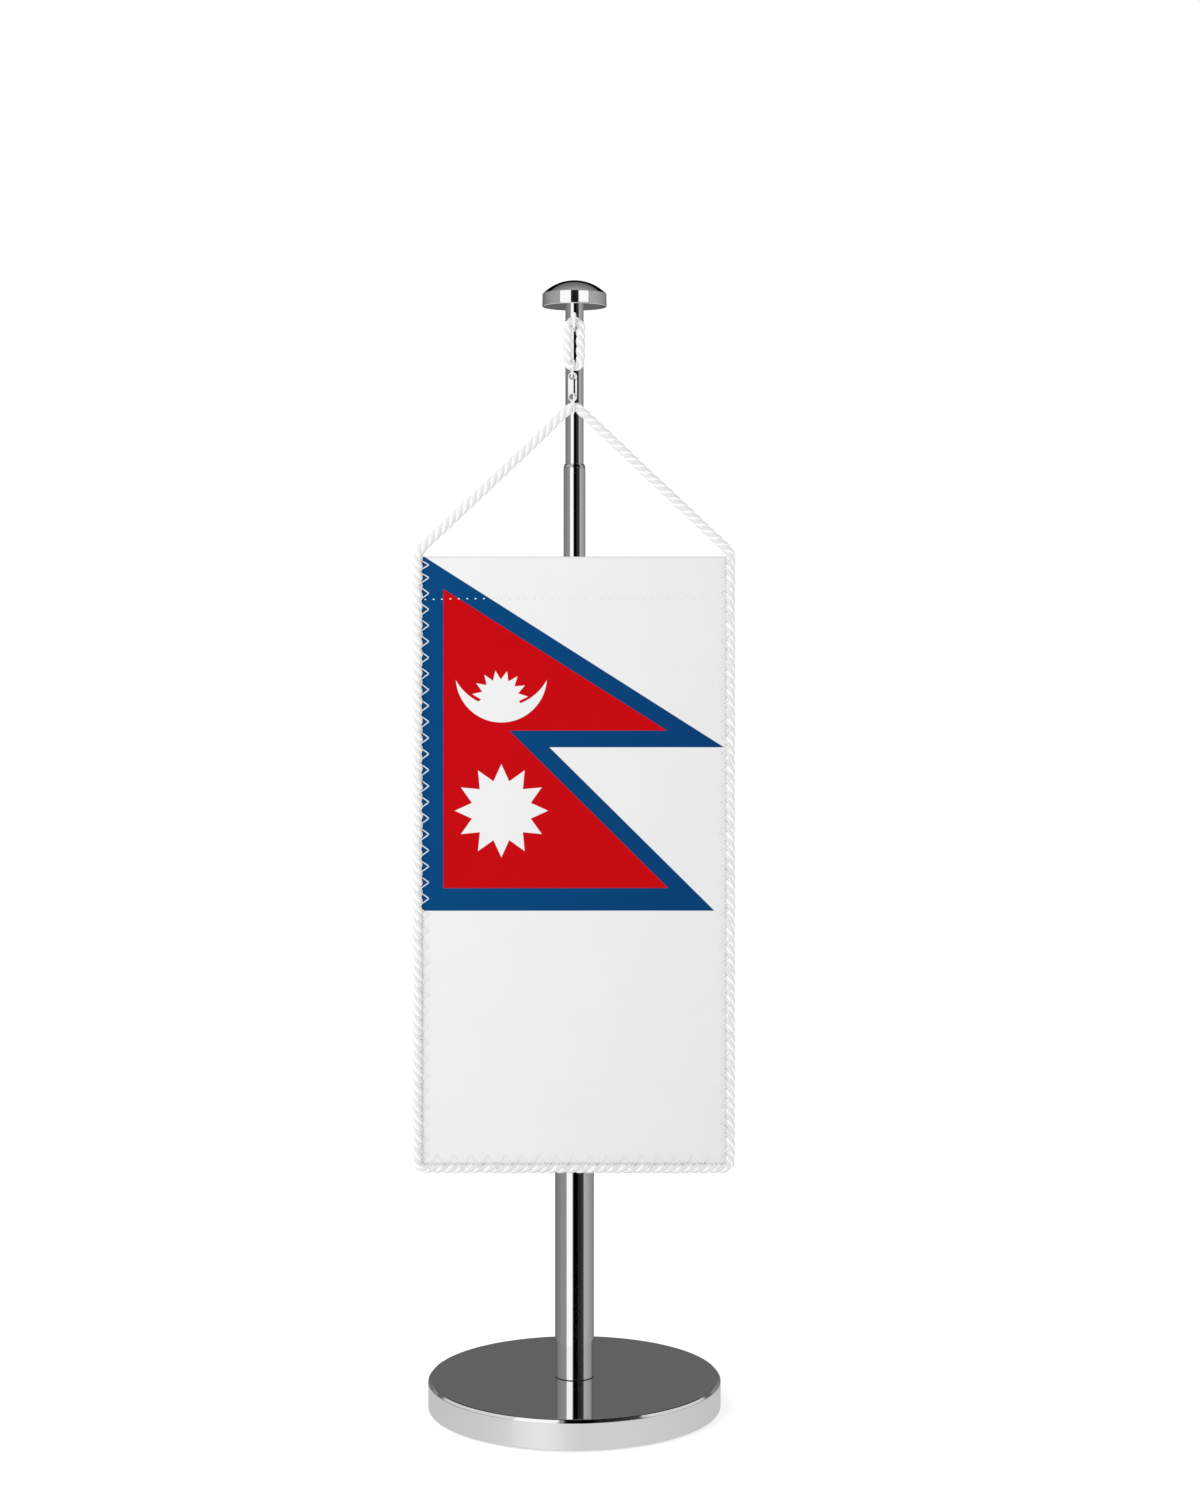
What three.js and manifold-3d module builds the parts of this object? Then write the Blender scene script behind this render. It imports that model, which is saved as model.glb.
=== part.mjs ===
// Desk flag stand: telescopic chrome pole on a heavy round base, with a small
// banner that hangs from a hook under the finial by a cord loop and a snap link.
// Millimetres, +Z up. Origin: centre of the base's underside, on the pole's axis.
// The banner hangs in front of the pole, towards -Y.
import * as THREE from 'three';
import { mergeVertices } from 'three/addons/utils/BufferGeometryUtils.js';
import Module from 'manifold-3d';

const wasm = await Module();
wasm.setup();

// ---- driving dimensions ----------------------------------------------------
const BASE_R = 60;            // base disc radius
const BASE_BOTTOM = 0.5;      // rim of the base above the table
const BASE_TOP = 12.5;        // polished top of the base
const PAD_R = 57;             // non-slip pad
const PAD_T = 1.0;
const COUNTERBORE_R = 7.0;
const COUNTERBORE_TOP = 6.5;

const LOWER_R = 8.0;          // lower tube, 16 mm
const LOWER_BORE = 7.0;
const LOWER_TOP = BASE_TOP + 320;
const COLLAR_TOP = LOWER_TOP + 12;

const MIDDLE_R = 4.5;         // middle tube, 9 mm
const MIDDLE_BORE = 4.0;
const MIDDLE_BOTTOM = 262;
const MIDDLE_TOP = 387;
const LIP_BORE = 3.82;        // the middle tube's mouth is drawn in round the top tube

const TOP_R = 3.75;           // top tube, 7.5 mm
const TOP_BORE = 3.25;
const TOP_BOTTOM = 326.5;
const TOP_TOP = 451.6;

const KNOB_R = 13.25;         // mushroom finial
const KNOB_SIDE_TOP = 456.8;
const KNOB_TOP = 462.4;

const HANG_Y = -13;           // plane in which loop, link and banner hang
const WIRE_R = 0.6;           // pole hook wire
const HOOK_Z = 441.6;         // centre of the hook's arm
const HOOK_TIP_Y = -16.2;
const HOOK_TIP_Z = 447.5;

const CORD_R = 2.0;           // twisted cord, 4 mm
const LOOP_CORD_R = 1.9;      // the loop's cord, a little tighter laid
const LOOP_HALF = 2.6;        // half spacing of the loop's two legs
const LOOP_TOP_C = HOOK_Z;    // centre of the upper bend, on the hook's arm
const LOOP_BOTTOM_C = 428.3;  // centre of the lower bend

const LINK_X = -1.0;          // the link's rivet line
const LINK_T = 1.6;           // link plate thickness
const LINK_TOP = 423.5;
const LINK_BOTTOM = 411.6;
const RIVET_TOP_Z = 421.6;
const RIVET_BOTTOM_Z = 413.45;
const RING_R = 0.3;           // wire of the two small rings

const BANNER_HALF = 61.1;     // cloth half width inside its edge cord
const BANNER_TOP = 349.3;
const BANNER_BOTTOM = 102.7;
const CLOTH_T = 0.5;
const HEM_DEPTH = 18;
const CORD_X = 63.4;          // centre of the edge cord
const CORD_BOTTOM = 100.4;
const CORNER_Z = 350.5;       // where the edge cord leaves the cloth
const APEX_Z = 410.5;
const ROD_R = 0.95;

// ---- helpers ----------------------------------------------------------------
// Keeps positions only, merges shared vertices, drops slivers, faces outwards.
function clean(geometry) {
  const g = geometry.clone();
  for (const name of Object.keys(g.attributes)) {
    if (name !== 'position') g.deleteAttribute(name);
  }
  const m = mergeVertices(g, 1e-4);
  const p = m.attributes.position;
  const source = m.index.array;
  const kept = [];
  let volume = 0;
  const a = new THREE.Vector3(), b = new THREE.Vector3(), c = new THREE.Vector3();
  for (let i = 0; i < source.length; i += 3) {
    const [u, v, w] = [source[i], source[i + 1], source[i + 2]];
    if (u === v || v === w || u === w) continue;
    kept.push(u, v, w);
    a.fromBufferAttribute(p, u);
    b.fromBufferAttribute(p, v);
    c.fromBufferAttribute(p, w);
    volume += a.dot(b.cross(c)) / 6;
  }
  if (volume < 0) {
    for (let i = 0; i < kept.length; i += 3) {
      [kept[i + 1], kept[i + 2]] = [kept[i + 2], kept[i + 1]];
    }
  }
  m.setIndex(kept);
  return m;
}

function solid(geometry) {
  const g = clean(geometry);
  return new wasm.Manifold(new wasm.Mesh({
    numProp: 3,
    vertProperties: new Float32Array(g.attributes.position.array),
    triVerts: new Uint32Array(g.index.array),
  }));
}

function shell(manifold) {
  const mesh = manifold.getMesh();
  const g = new THREE.BufferGeometry();
  const count = mesh.vertProperties.length / mesh.numProp;
  const position = new Float32Array(count * 3);
  for (let i = 0; i < count; i++) {
    for (let k = 0; k < 3; k++) position[3 * i + k] = mesh.vertProperties[mesh.numProp * i + k];
  }
  g.setAttribute('position', new THREE.BufferAttribute(position, 3));
  g.setIndex(Array.from(mesh.triVerts));
  return clean(g);
}

// Turned part: [radius, height] pairs about the Z axis.
function turned(profile, segments = 48) {
  const points = profile.map(([r, z]) => new THREE.Vector2(r, z));
  const g = new THREE.LatheGeometry(points, segments);
  g.rotateX(Math.PI / 2);
  return clean(g);
}

function closedTurned(profile, segments = 48) {
  return turned([...profile, profile[0]], segments);
}

// A cylinder along Y, from y0 to y1.
function rodAlongY(r, x, z, y0, y1, segments = 16) {
  const g = new THREE.CylinderGeometry(r, r, y1 - y0, segments);
  g.translate(x, (y0 + y1) / 2, z);
  return g;
}

// A curve through listed points, one step for each.
class Route extends THREE.Curve {
  constructor(points) {
    super();
    this.points = points;
  }

  getPoint(t, target = new THREE.Vector3()) {
    const s = Math.min(Math.max(t, 0), 1) * (this.points.length - 1);
    const i = Math.min(Math.floor(s), this.points.length - 2);
    return target.copy(this.points[i]).lerp(this.points[i + 1], s - i);
  }

  getPointAt(u, target) {
    return this.getPoint(u, target);
  }

  getTangent(t, target = new THREE.Vector3()) {
    const n = this.points.length - 1;
    const i = Math.round(Math.min(Math.max(t, 0), 1) * n);
    const before = this.points[Math.max(i - 1, 0)];
    const after = this.points[Math.min(i + 1, n)];
    const here = this.points[i];
    const one = here.clone().sub(before);
    const two = after.clone().sub(here);
    if (one.lengthSq() > 0) one.normalize();
    if (two.lengthSq() > 0) two.normalize();
    return target.copy(one.add(two).normalize());
  }

  getTangentAt(u, target) {
    return this.getTangent(u, target);
  }

  getSpacedPoints(divisions) {
    const out = [];
    for (let i = 0; i <= divisions; i++) out.push(this.getPoint(i / divisions));
    return out;
  }
}

function tubeAlong(points, radius, sides) {
  const ring = [];
  for (let i = 0; i < sides; i++) {
    const a = (2 * Math.PI * (i + 0.5)) / sides;
    ring.push(new THREE.Vector2(radius * Math.cos(a), radius * Math.sin(a)));
  }
  const g = new THREE.ExtrudeGeometry(new THREE.Shape(ring), {
    steps: points.length - 1,
    extrudePath: new Route(points),
  });
  return clean(g);
}

// Rounds the corners of a polyline in a plane: entries are [x, z, radius].
function rounded(vertices, y, turnStep = Math.PI / 10) {
  const out = [];
  const at = (x, z) => new THREE.Vector3(x, y, z);
  for (let i = 0; i < vertices.length; i++) {
    const [x, z, radius] = vertices[i];
    if (!radius) {
      out.push(at(x, z));
      continue;
    }
    const before = new THREE.Vector2(vertices[i - 1][0] - x, vertices[i - 1][1] - z).normalize();
    const after = new THREE.Vector2(vertices[i + 1][0] - x, vertices[i + 1][1] - z).normalize();
    const inside = Math.acos(before.dot(after));
    const reach = radius / Math.tan(inside / 2);
    const middle = before.clone().add(after).normalize().multiplyScalar(radius / Math.sin(inside / 2));
    const centre = new THREE.Vector2(x + middle.x, z + middle.y);
    const start = Math.atan2(z + before.y * reach - centre.y, x + before.x * reach - centre.x);
    const end = Math.atan2(z + after.y * reach - centre.y, x + after.x * reach - centre.x);
    let turn = end - start;
    if (turn > Math.PI) turn -= 2 * Math.PI;
    if (turn < -Math.PI) turn += 2 * Math.PI;
    const n = Math.max(2, Math.ceil(Math.abs(turn) / turnStep));
    for (let k = 0; k <= n; k++) {
      const a = start + (turn * k) / n;
      out.push(at(centre.x + radius * Math.cos(a), centre.y + radius * Math.sin(a)));
    }
  }
  return out;
}

// A wire ring with straight sides, standing in the YZ plane and leaning so that
// its top is at xTop and its bottom at xBottom.
function linkRing(zTop, zBottom, halfDepth, xTop, xBottom) {
  const reach = (zTop - zBottom) / 2;
  const straight = reach - halfDepth;
  const g = new THREE.TorusGeometry(halfDepth, RING_R, 8, 24);
  const p = g.attributes.position;
  for (let i = 0; i < p.count; i++) {
    const y = p.getY(i);
    if (Math.abs(y) > 1e-5) p.setY(i, y + Math.sign(y) * straight);
  }
  // The torus lies in XY: its X becomes Y and its Y becomes Z.
  g.applyMatrix4(new THREE.Matrix4().makeBasis(
    new THREE.Vector3(0, 1, 0), new THREE.Vector3(0, 0, 1), new THREE.Vector3(1, 0, 0)));
  for (let i = 0; i < p.count; i++) {
    const t = (p.getZ(i) + reach) / (2 * reach);
    p.setX(i, p.getX(i) + xBottom + (xTop - xBottom) * t);
  }
  g.translate(0, HANG_Y, (zTop + zBottom) / 2);
  return clean(g);
}

// A flat plate in XZ, centred on the hanging plane.
function plate(outline, thickness, holes = []) {
  const shape = new THREE.Shape(outline.map(([x, z]) => new THREE.Vector2(x, z)));
  for (const hole of holes) {
    shape.holes.push(new THREE.Path(hole.map(([x, z]) => new THREE.Vector2(x, z))));
  }
  const g = new THREE.ExtrudeGeometry(shape, { depth: thickness, bevelEnabled: false });
  g.rotateX(Math.PI / 2);
  g.translate(0, HANG_Y + thickness / 2, 0);
  return g;
}

function arc(cx, cz, r, from, to, n) {
  const out = [];
  for (let i = 0; i <= n; i++) {
    const a = from + ((to - from) * i) / n;
    out.push([cx + r * Math.cos(a), cz + r * Math.sin(a)]);
  }
  return out;
}

const chrome = () => new THREE.MeshStandardMaterial({ color: 0xd8dadb, roughness: 0.06, metalness: 1.0 });
const steel = () => new THREE.MeshStandardMaterial({ color: 0xb9bcc0, roughness: 0.3, metalness: 1.0 });
const plastic = (color) => new THREE.MeshStandardMaterial({ color, roughness: 0.5, metalness: 0.0 });
const cloth = (color) => new THREE.MeshStandardMaterial({ color, roughness: 0.85, metalness: 0.0 });

const flagStand = new THREE.Group();
const stand = new THREE.Group();
const middleStage = new THREE.Group();
const topStage = new THREE.Group();
const hanging = new THREE.Group();
flagStand.add(stand, middleStage, topStage, hanging);

function add(group, name, geometry, material) {
  const mesh = new THREE.Mesh(geometry, material);
  mesh.name = name;
  group.add(mesh);
}

// ---- base and lower tube -----------------------------------------------------
add(stand, 'base_plate', closedTurned([
  [3.3, COUNTERBORE_TOP], [COUNTERBORE_R, COUNTERBORE_TOP], [COUNTERBORE_R, PAD_T],
  [PAD_R + 0.5, PAD_T], [PAD_R + 0.5, BASE_BOTTOM], [BASE_R - 0.6, BASE_BOTTOM],
  [BASE_R - 0.15, BASE_BOTTOM + 0.2], [BASE_R, BASE_BOTTOM + 0.6],
  [BASE_R, BASE_TOP - 1.4], [BASE_R - 0.2, BASE_TOP - 0.7], [BASE_R - 0.7, BASE_TOP - 0.2],
  [BASE_R - 1.4, BASE_TOP], [3.3, BASE_TOP],
], 64), chrome());

add(stand, 'base_pad', turned([
  [0, 0], [PAD_R - 0.2, 0], [PAD_R, 0.2], [PAD_R, PAD_T], [0, PAD_T],
], 40), plastic(0x1b1b1c));

{
  const body = solid(turned([
    [0, 1.3], [4.6, 1.3], [5, 1.7], [5, 5.3], [3, 5.3], [3, 26], [2.5, 26.5], [0, 26.5],
  ], 20));
  const socket = new THREE.CylinderGeometry(2.9, 2.9, 3.4, 6);
  socket.rotateX(Math.PI / 2);
  socket.translate(0, 0, 2.0);
  add(stand, 'base_screw', shell(body.subtract(solid(socket))), steel());
}

add(stand, 'base_washer', closedTurned([
  [3.3, 5.3], [6.6, 5.3], [6.6, COUNTERBORE_TOP], [3.3, COUNTERBORE_TOP],
], 24), steel());

add(stand, 'lower_tube', closedTurned([
  [LOWER_BORE, BASE_TOP], [LOWER_R - 0.2, BASE_TOP], [LOWER_R, BASE_TOP + 0.2],
  [LOWER_R, LOWER_TOP], [LOWER_BORE, LOWER_TOP],
], 40), chrome());

add(stand, 'tube_foot', turned([
  [0, 29], [3.15, 29], [3.15, BASE_TOP], [LOWER_BORE - 0.1, BASE_TOP],
  [LOWER_BORE - 0.1, 32], [LOWER_BORE - 0.6, 32.5], [0, 32.5],
], 20), steel());

add(stand, 'tube_collar', closedTurned([
  [6.0, LOWER_TOP - 14], [LOWER_BORE - 0.1, LOWER_TOP - 14], [LOWER_BORE - 0.1, LOWER_TOP],
  [LOWER_R, LOWER_TOP], [LOWER_R, COLLAR_TOP - 3], [LOWER_R - 0.5, COLLAR_TOP - 1],
  [LOWER_R - 1.7, COLLAR_TOP], [4.95, COLLAR_TOP], [4.95, COLLAR_TOP - 2.3], [6.0, COLLAR_TOP - 2.3],
], 36), chrome());

add(stand, 'collar_bush', closedTurned([
  [4.6, LOWER_TOP - 12], [5.9, LOWER_TOP - 12], [5.9, COLLAR_TOP - 2.5], [4.6, COLLAR_TOP - 2.5],
], 24), plastic(0x202124));

// ---- middle stage ---------------------------------------------------------------
add(middleStage, 'middle_guide', turned([
  [0, MIDDLE_BOTTOM - 10], [LOWER_BORE - 0.6, MIDDLE_BOTTOM - 10], [LOWER_BORE - 0.1, MIDDLE_BOTTOM - 9.5],
  [LOWER_BORE - 0.1, MIDDLE_BOTTOM - 7], [5.4, MIDDLE_BOTTOM - 7], [5.4, MIDDLE_BOTTOM - 3],
  [LOWER_BORE - 0.1, MIDDLE_BOTTOM - 3], [LOWER_BORE - 0.1, MIDDLE_BOTTOM],
  [MIDDLE_BORE - 0.1, MIDDLE_BOTTOM], [MIDDLE_BORE - 0.1, MIDDLE_BOTTOM + 11.5],
  [MIDDLE_BORE - 0.6, MIDDLE_BOTTOM + 12], [0, MIDDLE_BOTTOM + 12],
], 24), plastic(0x2a2b2d));

add(middleStage, 'middle_brake', closedTurned([
  [5.5, MIDDLE_BOTTOM - 6.7], [6.6, MIDDLE_BOTTOM - 6.7], [6.9, MIDDLE_BOTTOM - 6.1], [6.95, MIDDLE_BOTTOM - 5],
  [6.9, MIDDLE_BOTTOM - 3.9], [6.6, MIDDLE_BOTTOM - 3.3], [5.5, MIDDLE_BOTTOM - 3.3],
], 24), plastic(0x151515));

add(middleStage, 'middle_tube', closedTurned([
  [MIDDLE_BORE, MIDDLE_BOTTOM], [MIDDLE_R, MIDDLE_BOTTOM], [MIDDLE_R, MIDDLE_TOP - 1.5],
  [MIDDLE_R - 0.08, MIDDLE_TOP - 0.9], [MIDDLE_R - 0.24, MIDDLE_TOP - 0.45], [MIDDLE_R - 0.42, MIDDLE_TOP - 0.15],
  [MIDDLE_R - 0.56, MIDDLE_TOP], [LIP_BORE, MIDDLE_TOP],
  [LIP_BORE, MIDDLE_TOP - 2.4], [MIDDLE_BORE, MIDDLE_TOP - 2.8],
], 36), chrome());

// ---- top stage --------------------------------------------------------------------
add(topStage, 'top_guide', turned([
  [0, TOP_BOTTOM - 10], [MIDDLE_BORE - 0.5, TOP_BOTTOM - 10], [MIDDLE_BORE - 0.1, TOP_BOTTOM - 9.6],
  [MIDDLE_BORE - 0.1, TOP_BOTTOM - 7], [2.9, TOP_BOTTOM - 7], [2.9, TOP_BOTTOM - 3],
  [MIDDLE_BORE - 0.1, TOP_BOTTOM - 3], [MIDDLE_BORE - 0.1, TOP_BOTTOM],
  [TOP_BORE - 0.1, TOP_BOTTOM], [TOP_BORE - 0.1, TOP_BOTTOM + 9.6],
  [TOP_BORE - 0.5, TOP_BOTTOM + 10], [0, TOP_BOTTOM + 10],
], 24), plastic(0x2a2b2d));

add(topStage, 'top_brake', closedTurned([
  [3.0, TOP_BOTTOM - 6.7], [3.7, TOP_BOTTOM - 6.7], [3.92, TOP_BOTTOM - 6.1], [3.95, TOP_BOTTOM - 5],
  [3.92, TOP_BOTTOM - 3.9], [3.7, TOP_BOTTOM - 3.3], [3.0, TOP_BOTTOM - 3.3],
], 24), plastic(0x151515));

{
  const tube = solid(closedTurned([
    [TOP_BORE, TOP_BOTTOM], [TOP_R, TOP_BOTTOM], [TOP_R, TOP_TOP], [TOP_BORE, TOP_TOP],
  ], 32));
  const hole = solid(rodAlongY(WIRE_R + 0.15, 0, HOOK_Z, -6, -1));
  add(topStage, 'top_tube', shell(tube.subtract(hole)), chrome());

  const insert = solid(turned([
    [0, 443], [1.65, 443], [1.65, TOP_TOP], [TOP_BORE - 0.1, TOP_TOP],
    [TOP_BORE - 0.1, TOP_TOP - 20], [0, TOP_TOP - 20],
  ], 20));
  const seat = solid(rodAlongY(WIRE_R + 0.15, 0, HOOK_Z, -6, 1.4));
  add(topStage, 'top_insert', shell(insert.subtract(seat)), steel());
}

{
  // The top is a cap of a sphere that meets the side in a clear edge.
  const rise = KNOB_TOP - KNOB_SIDE_TOP;
  const capR = (KNOB_R * KNOB_R + rise * rise) / (2 * rise);
  const capHalf = Math.asin(KNOB_R / capR);
  const dome = [];
  for (let i = 0; i <= 10; i++) {
    const a = capHalf * (1 - i / 10);
    dome.push([capR * Math.sin(a), KNOB_TOP - capR * (1 - Math.cos(a))]);
  }
  dome[dome.length - 1] = [0, KNOB_TOP];
  add(topStage, 'knob', turned([
    [0, 457.8], [1.65, 457.8], [1.65, TOP_TOP], [KNOB_R - 0.7, TOP_TOP],
    [KNOB_R - 0.2, TOP_TOP + 0.2], [KNOB_R, TOP_TOP + 0.7], ...dome,
  ], 48), chrome());
}

add(topStage, 'knob_stud', turned([
  [0, 443.4], [1.2, 443.4], [1.5, 443.7], [1.5, 457.1], [1.2, 457.4], [0, 457.4],
], 16), steel());

add(topStage, 'pole_hook', tubeAlong([
  new THREE.Vector3(0, 1.0, HOOK_Z),
  new THREE.Vector3(0, -4, HOOK_Z),
  new THREE.Vector3(0, -9, HOOK_Z),
  ...arc(HOOK_TIP_Y + 1.7, HOOK_Z + 1.7, 1.7, -Math.PI / 2, -Math.PI, 5)
    .map(([y, z]) => new THREE.Vector3(0, y, z)),
  new THREE.Vector3(0, HOOK_TIP_Y, HOOK_TIP_Z),
], WIRE_R, 12), chrome());

// ---- loop, link and rings --------------------------------------------------------
{
  const points = [];
  const first = 0.15 / LOOP_HALF;
  for (let i = 0; i <= 7; i++) {
    const a = -Math.PI / 2 - first - (Math.PI / 2 - first) * (i / 7);
    points.push([LOOP_HALF * Math.cos(a), LOOP_BOTTOM_C + LOOP_HALF * Math.sin(a)]);
  }
  for (let i = 0; i <= 14; i++) {
    const a = Math.PI - Math.PI * (i / 14);
    points.push([LOOP_HALF * Math.cos(a), LOOP_TOP_C + LOOP_HALF * Math.sin(a)]);
  }
  for (let i = 0; i <= 7; i++) {
    const a = -(Math.PI / 2 - first) * (i / 7);
    points.push([LOOP_HALF * Math.cos(a), LOOP_BOTTOM_C + LOOP_HALF * Math.sin(a)]);
  }
  add(hanging, 'hanger_loop',
    tubeAlong(points.map(([x, z]) => new THREE.Vector3(x, HANG_Y, z)), LOOP_CORD_R, 8), cloth(0xf4f4f4));
}

add(hanging, 'loop_ring', linkRing(428.2, RIVET_TOP_Z - 0.15, 2.5, 0, LINK_X), chrome());

{
  const left = LINK_X - 1.42, right = LINK_X + 2.15;
  const r = (right - left) / 2, cx = (left + right) / 2;
  const outline = [
    ...arc(cx, LINK_TOP - r, r, 0, Math.PI, 16),
    ...arc(cx, LINK_BOTTOM + r, r, Math.PI, 2 * Math.PI, 16),
  ];
  const slot = [
    [LINK_X + 0.57, 414.4], [LINK_X + 1.38, 414.4], [LINK_X + 1.38, 420.8], [LINK_X + 0.57, 420.8],
  ];
  let body = solid(plate(outline, LINK_T, [slot]));
  const gateRoom = new THREE.BoxGeometry(1.6, LINK_T + 1, 7.0);
  gateRoom.translate(LINK_X + 1.3 + 0.8, HANG_Y, 417.3);
  body = body.subtract(solid(gateRoom));
  for (const z of [RIVET_TOP_Z, RIVET_BOTTOM_Z]) {
    body = body.subtract(solid(rodAlongY(0.85, LINK_X, z, HANG_Y - 3, HANG_Y + 3)));
  }
  add(hanging, 'snap_body', shell(body), steel());

  // Hollow rivet that the upper ring passes through.
  const eye = solid(rodAlongY(0.8, LINK_X, RIVET_TOP_Z, HANG_Y - 0.95, HANG_Y + 0.95, 20))
    .add(solid(rodAlongY(1.12, LINK_X, RIVET_TOP_Z, HANG_Y - 1.0, HANG_Y - LINK_T / 2 - 0.01, 20)))
    .add(solid(rodAlongY(1.12, LINK_X, RIVET_TOP_Z, HANG_Y + LINK_T / 2 + 0.01, HANG_Y + 1.0, 20)))
    .subtract(solid(rodAlongY(0.6, LINK_X, RIVET_TOP_Z, HANG_Y - 3, HANG_Y + 3, 20)));
  add(hanging, 'snap_eyelet', shell(eye), steel());

  const rivet = solid(rodAlongY(0.8, LINK_X, RIVET_BOTTOM_Z, HANG_Y - 0.95, HANG_Y + 0.95, 20))
    .add(solid(rodAlongY(1.15, LINK_X, RIVET_BOTTOM_Z, HANG_Y - 1.05, HANG_Y - LINK_T / 2 - 0.01, 20)))
    .add(solid(rodAlongY(1.15, LINK_X, RIVET_BOTTOM_Z, HANG_Y + LINK_T / 2 + 0.01, HANG_Y + 1.05, 20)));
  add(hanging, 'snap_rivet', shell(rivet), steel());

  const gate = new THREE.BoxGeometry(0.7, 1.2, 6.5);
  gate.translate(LINK_X + 1.8, HANG_Y, 417.3);
  add(hanging, 'snap_gate', clean(gate), steel());
}

add(hanging, 'cord_ring', linkRing(414.8, 407.0, 2.45, LINK_X + 0.975, -0.2), chrome());

// ---- banner ------------------------------------------------------------------------
{
  const route = rounded([
    [-0.15, CORD_BOTTOM, 0], [-CORD_X, CORD_BOTTOM, 2.8], [-CORD_X, CORNER_Z, 6],
    [0, APEX_Z, 3], [CORD_X, CORNER_Z, 6], [CORD_X, CORD_BOTTOM, 2.8], [0.15, CORD_BOTTOM, 0],
  ], HANG_Y);
  const spread = [];
  for (let i = 0; i < route.length; i++) {
    if (i) {
      const gap = route[i].distanceTo(route[i - 1]);
      const n = Math.floor(gap / 42);
      for (let k = 1; k <= n; k++) spread.push(route[i - 1].clone().lerp(route[i], k / (n + 1)));
    }
    spread.push(route[i]);
  }
  add(hanging, 'banner_cord', tubeAlong(spread, CORD_R, 8), cloth(0xf6f6f6));
}

{
  const front = HANG_Y - CLOTH_T / 2, back = HANG_Y + CLOTH_T / 2;
  const outline = [
    [front, BANNER_BOTTOM], [front, BANNER_TOP - 1.5], [front + 0.45, BANNER_TOP - 0.45],
    [front + 1.5, BANNER_TOP], [front + 2.55, BANNER_TOP - 0.45], [front + 3.05, BANNER_TOP - 1.5],
    [front + 3.05, BANNER_TOP - 2.7], [front + 2.6, BANNER_TOP - 3.9], [back + 0.5, BANNER_TOP - 6.8],
    [back + 0.5, BANNER_TOP - HEM_DEPTH], [back, BANNER_TOP - HEM_DEPTH], [back, BANNER_BOTTOM],
  ];
  const shape = new THREE.Shape(outline.map(([y, z]) => new THREE.Vector2(y, z)));
  shape.holes.push(new THREE.Path(
    arc(front + 1.53, BANNER_TOP - 2.0, 1.15, 0, 2 * Math.PI, 16).slice(0, 16)
      .map(([y, z]) => new THREE.Vector2(y, z))));
  const g = new THREE.ExtrudeGeometry(shape, { depth: 2 * BANNER_HALF, bevelEnabled: false });
  // Shape x becomes Y, shape y becomes Z, and the depth runs along X.
  g.applyMatrix4(new THREE.Matrix4().makeBasis(
    new THREE.Vector3(0, 1, 0), new THREE.Vector3(0, 0, 1), new THREE.Vector3(1, 0, 0)));
  g.translate(-BANNER_HALF, 0, 0);
  add(hanging, 'banner_cloth', clean(g), cloth(0xececec));

  const rod = new THREE.CylinderGeometry(ROD_R, ROD_R, 2 * BANNER_HALF - 3, 16);
  rod.rotateZ(Math.PI / 2);
  rod.translate(0, front + 1.53, BANNER_TOP - 2.0);
  add(hanging, 'banner_rod', clean(rod), plastic(0xdedede));
}

export default flagStand;
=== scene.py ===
import math

import bmesh
import bpy
import numpy as np
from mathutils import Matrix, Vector


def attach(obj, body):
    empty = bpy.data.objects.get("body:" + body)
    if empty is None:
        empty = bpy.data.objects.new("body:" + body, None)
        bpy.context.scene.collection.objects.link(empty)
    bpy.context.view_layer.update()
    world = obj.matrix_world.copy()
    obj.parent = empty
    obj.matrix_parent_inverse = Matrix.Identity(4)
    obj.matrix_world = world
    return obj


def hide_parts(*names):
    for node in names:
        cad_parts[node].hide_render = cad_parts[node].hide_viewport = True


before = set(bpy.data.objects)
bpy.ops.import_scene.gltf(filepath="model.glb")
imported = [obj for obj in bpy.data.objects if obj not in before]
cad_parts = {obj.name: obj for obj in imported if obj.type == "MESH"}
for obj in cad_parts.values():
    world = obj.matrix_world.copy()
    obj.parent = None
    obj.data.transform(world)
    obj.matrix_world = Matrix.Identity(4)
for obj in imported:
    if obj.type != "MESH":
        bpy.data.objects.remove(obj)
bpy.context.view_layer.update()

MM = 0.001
HANG_Y = -13.0


# ---- camera ---------------------------------------------------------------------
def make_camera():
    data = bpy.data.cameras.new("camera")
    data.sensor_width = 36
    data.sensor_fit = "AUTO"
    data.lens = 62.233
    data.shift_x = 0.0
    data.shift_y = -0.08
    data.clip_start = 0.01
    data.clip_end = 100
    data.dof.use_dof = False
    cam = bpy.data.objects.new("camera", data)
    bpy.context.scene.collection.objects.link(cam)
    cam.location = (0.01048, -1.0652, 0.3213)
    cam.rotation_euler = (math.radians(90 - 0.129), 0, 0)
    bpy.context.scene.camera = cam


make_camera()
scene = bpy.context.scene
scene.view_settings.view_transform = "Standard"
scene.view_settings.look = "None"
scene.view_settings.exposure = 0
scene.view_settings.gamma = 1


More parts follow.
